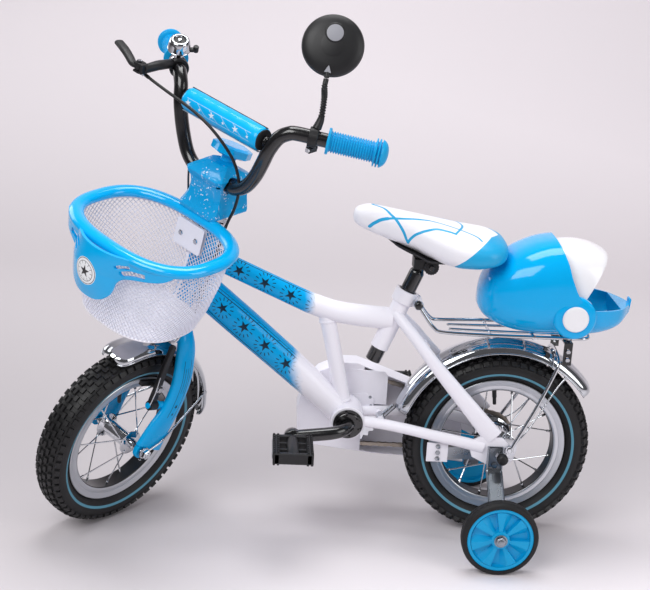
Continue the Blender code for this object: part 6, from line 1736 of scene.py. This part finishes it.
clearVinyl = moulded("clearVinyl", "#C9DCE6", 0.25, coat=0.5, grain=2, depth=0.03)
blackFoam = moulded("blackFoam", "#202124", 0.9, grain=0.8, depth=0.2)
coverPlastic = coverFinish()
padVinyl = padFinish()
buildStem()
buildPad()
print("stem and pad ready")


# Basket

basket = {"centre": (-613.5, 0.0, 534.0), "depth": 102.5, "width": 141.0, "rimWide": 12.0, "rimTall": 9.0,
          "power": 2.6, "cells": 82, "rows": 32, "low": 392, "high": 524.7, "weave": 0.3, "badgeShift": 10.0,
          "badgeHeight": 494, "strandWide": 0.43, "strandThick": 0.6}
# height, middle, half depth and half width
basketStations = [(386, -622, 66, 82), (392, -622, 74, 90), (426, -617, 79, 104), (476, -615, 85, 119),
                  (524.7, -613.5, 90, 128)]


def oval(angle, centreX, depth, width, z):
    # |x / depth|^2.6 + |y / width|^2.6 = 1
    c, s = squarish(angle, 2 / basket["power"])
    return np.stack([centreX + depth * c, width * s, z + 0 * c], -1)


def rimAngle(share):
    # angles that cut the rim into equal lengths
    angle = np.linspace(0, 2 * np.pi, 2001)
    run = runOf(oval(angle, 0, basket["depth"], basket["width"], 0))
    return np.interp((share % 1) * run[-1], run, angle)


def basketSurface(share, z):
    heights, *columns = np.transpose(basketStations)
    return oval(rimAngle(share), *(np.interp(z, heights, column) for column in columns), z)


def strands(paths, normals, wide, thick):
    # many flat wires at once: four points round each point of each path
    along = unit(np.gradient(paths, axis=1))
    side = unit(np.cross(along, normals))
    up = np.cross(side, along)
    ring = [side * wide * a + up * thick * b for a, b in ((1, 1), (1, -1), (-1, -1), (-1, 1))]
    points = paths[:, :, None] + np.stack(ring, 2)
    base = np.arange(points.size // 3).reshape(points.shape[:3])
    low, high = base[:, :-1], base[:, 1:]
    quads = np.stack([low, np.roll(low, -1, 2), np.roll(high, -1, 2), high], -1).reshape(-1, 4)
    quads = np.concatenate([quads, base[:, 0, ::-1], base[:, -1]])
    return outward(points.reshape(-1, 3), [tuple(q) for q in quads.tolist()])


def shrunk(row, by):
    return (row - row.mean(0)) * by + row.mean(0)


def buildBasketMesh():
    cells, rows = basket["cells"], basket["rows"]
    climb = np.linspace(0, 1, rows * 2 + 1)
    z = basket["low"] + climb * (basket["high"] - basket["low"])
    wave = basket["weave"] * np.cos(np.pi * np.arange(rows * 2 + 1))[None, :, None]
    shells = []
    for hand in bothSides:
        share = (np.arange(cells)[:, None] + hand * climb[None] * rows / 2) / cells
        paths = basketSurface(share, z)
        normals = unit(np.cross(basketSurface(share + 0.001, z) - paths,
                                basketSurface(share, z + 0.5) - paths))
        shells.append(strands(paths + normals * wave * hand, normals, basket["strandWide"],
                              basket["strandThick"]))
    make("basketWire", "steered", meshCoat, shells, ["basket"], sharp=60)
    floor = [basketSurface(np.linspace(0, 1, 97)[:-1], height) for height in (384.9, 385.6, 388, 393.5)]
    floor[0] = shrunk(floor[0], 0.985)
    floor += [shrunk(floor[3], 0.985), shrunk(floor[2], 0.972) + (0, 0, 0.8)]
    shells = [skin(floor)]
    for height in (393, 523.6):
        ring = basketSurface(np.linspace(0, 1, 161)[:-1], height)
        shells.append(bar(ring, 1.4, sides=10, guide=zWay, loop=True))
    shells.append(bar(basketSurface(np.zeros(30), np.linspace(388, 524, 30)), 2.6, 0.9, 10))
    make("basketFloor", "steered", whitePlastic, shells, ["basket"])


def badgeFinish():
    # place holds side distance and height: a black and white roundel with a star, and blue around it
    paint = moulded("badgeBlue", tones["glossBlue"], 0.16, coat=0.8, grain=2.5, depth=0.02, specular=0.2,
                    source="place")
    y, z, w = paint.axes("place")
    radius, angle = paint.polar(y, z)
    spokes = paint.under(abs(repeated(angle * 57.3, 30)), 1.6, 0.8) * paint.within(radius, 11.4, 16, 0.3)
    ink = paint.most(paint.within(radius, 20, 21), paint.within(radius, 15.6, 16.4), spokes,
                     star(paint, z, y, 10.6))
    light = paint.mix(ink, colour("#F2F5F8"), colour("#14161A"))
    paint.set("Base Color", paint.mix(paint.under(radius, 22, 0.3), paint.base, light))
    return paint


def badgeShell():
    # the lobe hangs from the rim: its width falls with height, and it bulges forward in the middle
    rows = np.array([(538, 120), (530, 120), (520, 112), (514, 96), (508, 74), (501, 58), (492, 50),
                     (480, 47), (468, 42), (459, 33), (453, 21), (451, 8)], float)
    line = curve(np.column_stack([rows, 0 * rows[:, 0]]), 80)
    z, half = line[:, :1], np.maximum(line[:, 1:2], 3)
    t = np.sin(np.linspace(-np.pi / 2, np.pi / 2, 61))
    y = t * half + basket["badgeShift"] * np.clip((530 - z) / 30, 0, 1)
    fall = (538 - z) / 89
    share = np.minimum(1, np.abs(y) / basket["width"])
    face = -613.5 - 100 * (1 - share ** basket["power"]) ** (1 / basket["power"])
    bulge = 22 * np.clip(1 - (t * half / 60) ** 2, 0, 1) * np.sin(np.pi * np.minimum(1, 0.25 + 0.5 * fall))
    front = np.stack([face - bulge, y, z + 0 * y], -1)
    rounding = 0.8 * (np.abs(t) > 0.97)[None, :, None] * xWay
    back = front + xWay * 4.8 - rounding
    return skin(np.concatenate([front + rounding * 0.8, back[:, ::-1]], 1), ends="strip")


def buildBasketRim():
    (x, _, z), wide = basket["centre"], basket["rimWide"]
    line = oval(rimAngle(np.linspace(0, 1, 181)[:-1]), x, basket["depth"] - wide, basket["width"] - wide, z)
    slots = []
    for side in bothSides:
        for path, high in (([(45, 511), (62, 517), (84, 520.5)], 4.4),
                           ([(38, 520), (46, 523.5), (58, 525)], 3.2)):
            slots.append(bar([(-690, y * side, z) for y, z in path], 70, high, 20, guide=xWay, nose=2))
    shells = [bar(line, basket["rimTall"], wide, 28, guide=zWay, loop=True), carved(badgeShell(), *slots)]
    middle = (0, basket["badgeShift"], basket["badgeHeight"])
    make("basketHoop", "steered", badgeBlue, shells, ["basket_rim"],
         lambda points: (points - middle)[:, [1, 2, 0]], 30)


def buildBasketBracket():
    ringAt = onHead(556.9)
    strap = rounded([(-488, 0, 533.5), (-502, 0, 538), (-507.5, 0, 531), (-509.5, 0, 520), (-514, 0, 511),
                     (-524.5, 0, 501)], 3, 5)
    wire = curve([(-523, 27, 515), (-508, 36, 522), (-505, 42, 545), (-507, 45, 575), (-509.5, 45, 597)], 40)
    shells = [tube(ringAt, ringAt + steerAxis * 8, 12.8, 17, 44), bar(strap, 15, 1.8, 24, power=0.4),
              bar(wire, 1.7, sides=12, guide=xWay)]
    make("basketBracketStrap", "steered", blackPaint, shells, ["basket_bracket"])
    down = unit([-6.1, 0, -46.0])
    ways = (yWay, down, unit(np.cross(down, yWay)))
    outside = [(-26, 1), (26, 1), (28, 3), (28, 43), (26, 45.4), (-26, 45.4), (-28, 43), (-28, 3)]
    inside = [(-27, 0), (27, 0), (30, 3), (30, 42), (27, 45), (-27, 45), (-30, 42), (-30, 3)]
    plates = [plate(outside, 0, 3, 0.6, (-526.4, 0, 522.4), ways),
              plate(inside, -2, 0, 0.6, (-531.6, 0, 523.6), ways)]
    make("basketBackPlate", "steered", whitePlastic, plates)
    bolts = []
    for y in (-17, 17):
        spot = np.array([-535, y, 500.0])
        bolts += [hexNut(spot, -xWay, 5, 0, 3.4), lathe([(0, 7), (0.9, 7)], spot + xWay * 1.2, -xWay, 24)]
    make("basketBolts", "steered", chrome, bolts)


meshCoat = moulded("meshCoat", "#E6E5F0", 0.45, grain=0.5, depth=0.02)
badgeBlue = badgeFinish()
buildBasketMesh()
buildBasketRim()
buildBasketBracket()
print("basket ready")


# Saddle

saddleSizes = {"grain": 1.5, "inset": 1.0, "swell": 1.2, "blueFront": 515, "neck": 164, "teeth": (11.6, 12.6)}
# place along the bike, top, bottom and half width
saddleStations = [(-262, 540, 527, 9), (-257, 549, 521, 18), (-238, 553.5, 512, 24.5), (-205, 548, 500, 30.5),
                  (-165, 540.5, 486, 42), (-130, 533.5, 472, 57), (-100, 527, 464.5, 71),
                  (-70, 521.5, 463, 79), (-42, 517, 467, 77), (-22, 511, 474, 63), (-13, 503, 484, 40)]
# each stripe: points on the near side of the cover, and half its width
saddleStripes = [
    ([(-237, -23.6, 520.6), (-235, -24.8, 523), (-231.5, -25.8, 526.6), (-227, -26.4, 529.6),
      (-221.6, -26.5, 533.1), (-215.9, -26.3, 535.4), (-208.4, -25.8, 537.1)], 2.7),
    ([(-208.4, -25.8, 537.1), (-198.9, -25.5, 538), (-181.8, -25, 537.8), (-161.5, -22.8, 536.7),
      (-140.9, -19.6, 534.3)], 1.9),
    ([(-140.9, -19.6, 534.3), (-120.6, -21.4, 530.3), (-100.8, -26.4, 525.7), (-84.2, -34, 521.8),
      (-68.1, -44.5, 517.3), (-60.7, -54.8, 513.4)], 1.5),
    ([(-232, 0, 553), (-229.8, -3, 552.3), (-215.4, -8.6, 549.4), (-204.4, -19.2, 543.6),
      (-196, -26.5, 536.9), (-188.8, -32.9, 527.1), (-182.8, -36.3, 516.5), (-177.7, -36.9, 503.7),
      (-175.8, -35.8, 499.2)], 2.1),
    ([(-175.8, -35.8, 499.7), (-173.3, -38.9, 506), (-169.9, -40.3, 510.7), (-165.5, -41.4, 515.3),
      (-159.3, -42.1, 519), (-148.2, -41.7, 523.7), (-131, -39.3, 526.3), (-114, -41.9, 523.9),
      (-101.5, -45.9, 521)], 2.1),
    ([(-101.5, -45.9, 521), (-94.1, -31.8, 523.7), (-88, -15, 524.8), (-85.5, 0, 525)], 1.7)]
# the front edge of the blue back, by the distance round from the middle
blueEdge = [(0, -24), (11.5, -28), (36, -43.8), (71, -55.6), (97.5, -65.3), (126.5, -76.6), (148.4, -86.8),
            (161.8, -95.5), (166.2, -100), (190, -112)]


def distanceTo(points, line):
    # squared distances, less each line point's own gap to the surface, so that a line just inside it
    # still shows
    square = (points**2).sum(1)[:, None] + (line**2).sum(1)[None] - 2 * points @ line.T
    return np.sqrt(np.maximum(0, (square - square.min(0)).min(1)))


def saddlePlace(points):
    # how far each point is from the nearest blue stripe, and how far behind the blue back's edge
    near = points.copy()
    near[:, 1] = -np.abs(points[:, 1])
    stripes = np.min([distanceTo(near, curve(line, 140)) - wide for line, wide in saddleStripes], axis=0)
    girth = np.abs(points[:, 1]) + 2.5 * np.maximum(0, saddleSizes["blueFront"] - points[:, 2])
    return np.stack([stripes, points[:, 0] - np.interp(girth, *np.transpose(blueEdge)), points[:, 2]], 1)


def saddleFinish():
    paint = moulded("saddleCover", "#F3F2F8", 0.42, coat=0.12, grain=1.1, depth=0.04)
    stripe, back, z = paint.axes("place")
    paint.tint(paint.most(1 - paint.step(stripe, -0.3, 0.4), paint.step(back, -0.5, 0.5)), "#08A6DC")
    grain = paint.node("TexVoronoi", {"feature": "DISTANCE_TO_EDGE"},
                       {"Vector": paint.node("TexCoord", output="Object"),
                        "Scale": 1 / (saddleSizes["grain"] * mm)})
    paint.bump(paint.step(grain, 0.0, 0.22), 0.12, 0.5)
    return paint


def buildSaddle():
    x, top, bottom, half = np.hsplit(curve(saddleStations, 130), 4)
    middle = bottom + 0.42 * (top - bottom)
    angle = wholeTurn(120)
    c, s = np.cos(angle)[None], np.sin(angle)[None]
    y = half * np.sign(c) * np.abs(c) ** 0.8
    rise = np.where(s >= 0, (top - middle) * np.abs(s) ** 0.9, (bottom - middle) * np.abs(s) ** 0.45)
    y = np.where(s < 0, y * (1 - 0.14 * np.abs(s)), y)
    # the cover pulls in over the staples: small scallops that fade away from the lower edge
    pull = np.clip(-s * 1.6, 0, 1) ** 2 * 0.9 * np.sin(x / 4.4)
    y = y - np.sign(y) * pull * (np.abs(c) > 0.25)
    rows = np.stack([x + 0 * y, y, middle + rise], -1)
    # the filling starts a millimetre inside and swells back out
    inwards = np.stack([x, 0 * x, middle], -1) - rows
    rows = rows + inwards * (saddleSizes["inset"] / np.maximum(np.linalg.norm(inwards, axis=2, keepdims=True),
                                                               8))
    form = swollen(skin(rows), 4.0, saddleSizes["swell"], levels=2)
    cover = make("saddleCushion", "seat", saddleCover, [form], ["saddle"], saddlePlace, 60)


def buildSaddleBase():
    neck = seatFoot + seatWay * saddleSizes["neck"]
    clamp = neck - seatWay * 6
    spot = clamp * [1, 0, 1] + (14, 0, -3)
    rows = []
    for x, top, bottom, half in curve(saddleStations[3:9], 40):
        w = half * np.interp(x, [-205, -175, -140, -112, -42], [0.5, 0.97, 0.94, 0.6, 0.4])
        bottom += np.interp(x, [-205, -190, -142, -112, -42], [5, 0, 0, 6, 18])
        rows.append([(x, w * side, bottom - deep) for side, deep in (
            (-1, 0.4), (-0.96, 4), (-0.5, 5.6), (0, 6), (0.5, 5.6), (0.96, 4), (1, 0.4), (0, 0.3))])
    shells = [skin(rows), block((clamp[0] - 14, -17, clamp[2] - 8), (clamp[0] + 26, 17, clamp[2] + 11), 2.2),
              tube(neck - seatWay * 14, neck - seatWay * 2, 9.8, 12.6, 40)]
    reach = np.resize(saddleSizes["teeth"], 36)[:, None]
    toothed = around(np.radians(np.arange(0, 360, 10)), (1, 0), (0, 1)) * reach
    for side in bothSides:
        shells += [plate(toothed, 15, 20, 0.8, spot, (xWay, zWay, yWay * side)),
                   lathe([(20, 8), (21.2, 7.6), (21.4, 5)], spot, yWay * side, 28)]
    make("saddlePan", "seat", blackPlastic, shells, ["saddle_base"])
    make("saddleBolt", "seat", blackPaint, [hexNut(spot, yWay * side, 5, 21.2, 25) for side in bothSides])
    post = [(-24, 12.1), (-23.4, 12.5), (138, 12.5), (141, 12.3), (143.6, 11.2), (145.2, 10), (147, 9.5),
            (164, 9.5)]
    shells = [lathe(post, seatFoot, seatWay, 44)]
    shells += [hoop([(at - 0.25, 12.2), (at, 12.62), (at + 0.25, 12.2)], seatFoot, seatWay, 40)
               for at in (96, 104)]
    make("saddlePost", "seat", blackPaint, shells, ["seat_post"])


saddleCover = saddleFinish()
buildSaddle()
buildSaddleBase()
print("saddle ready")
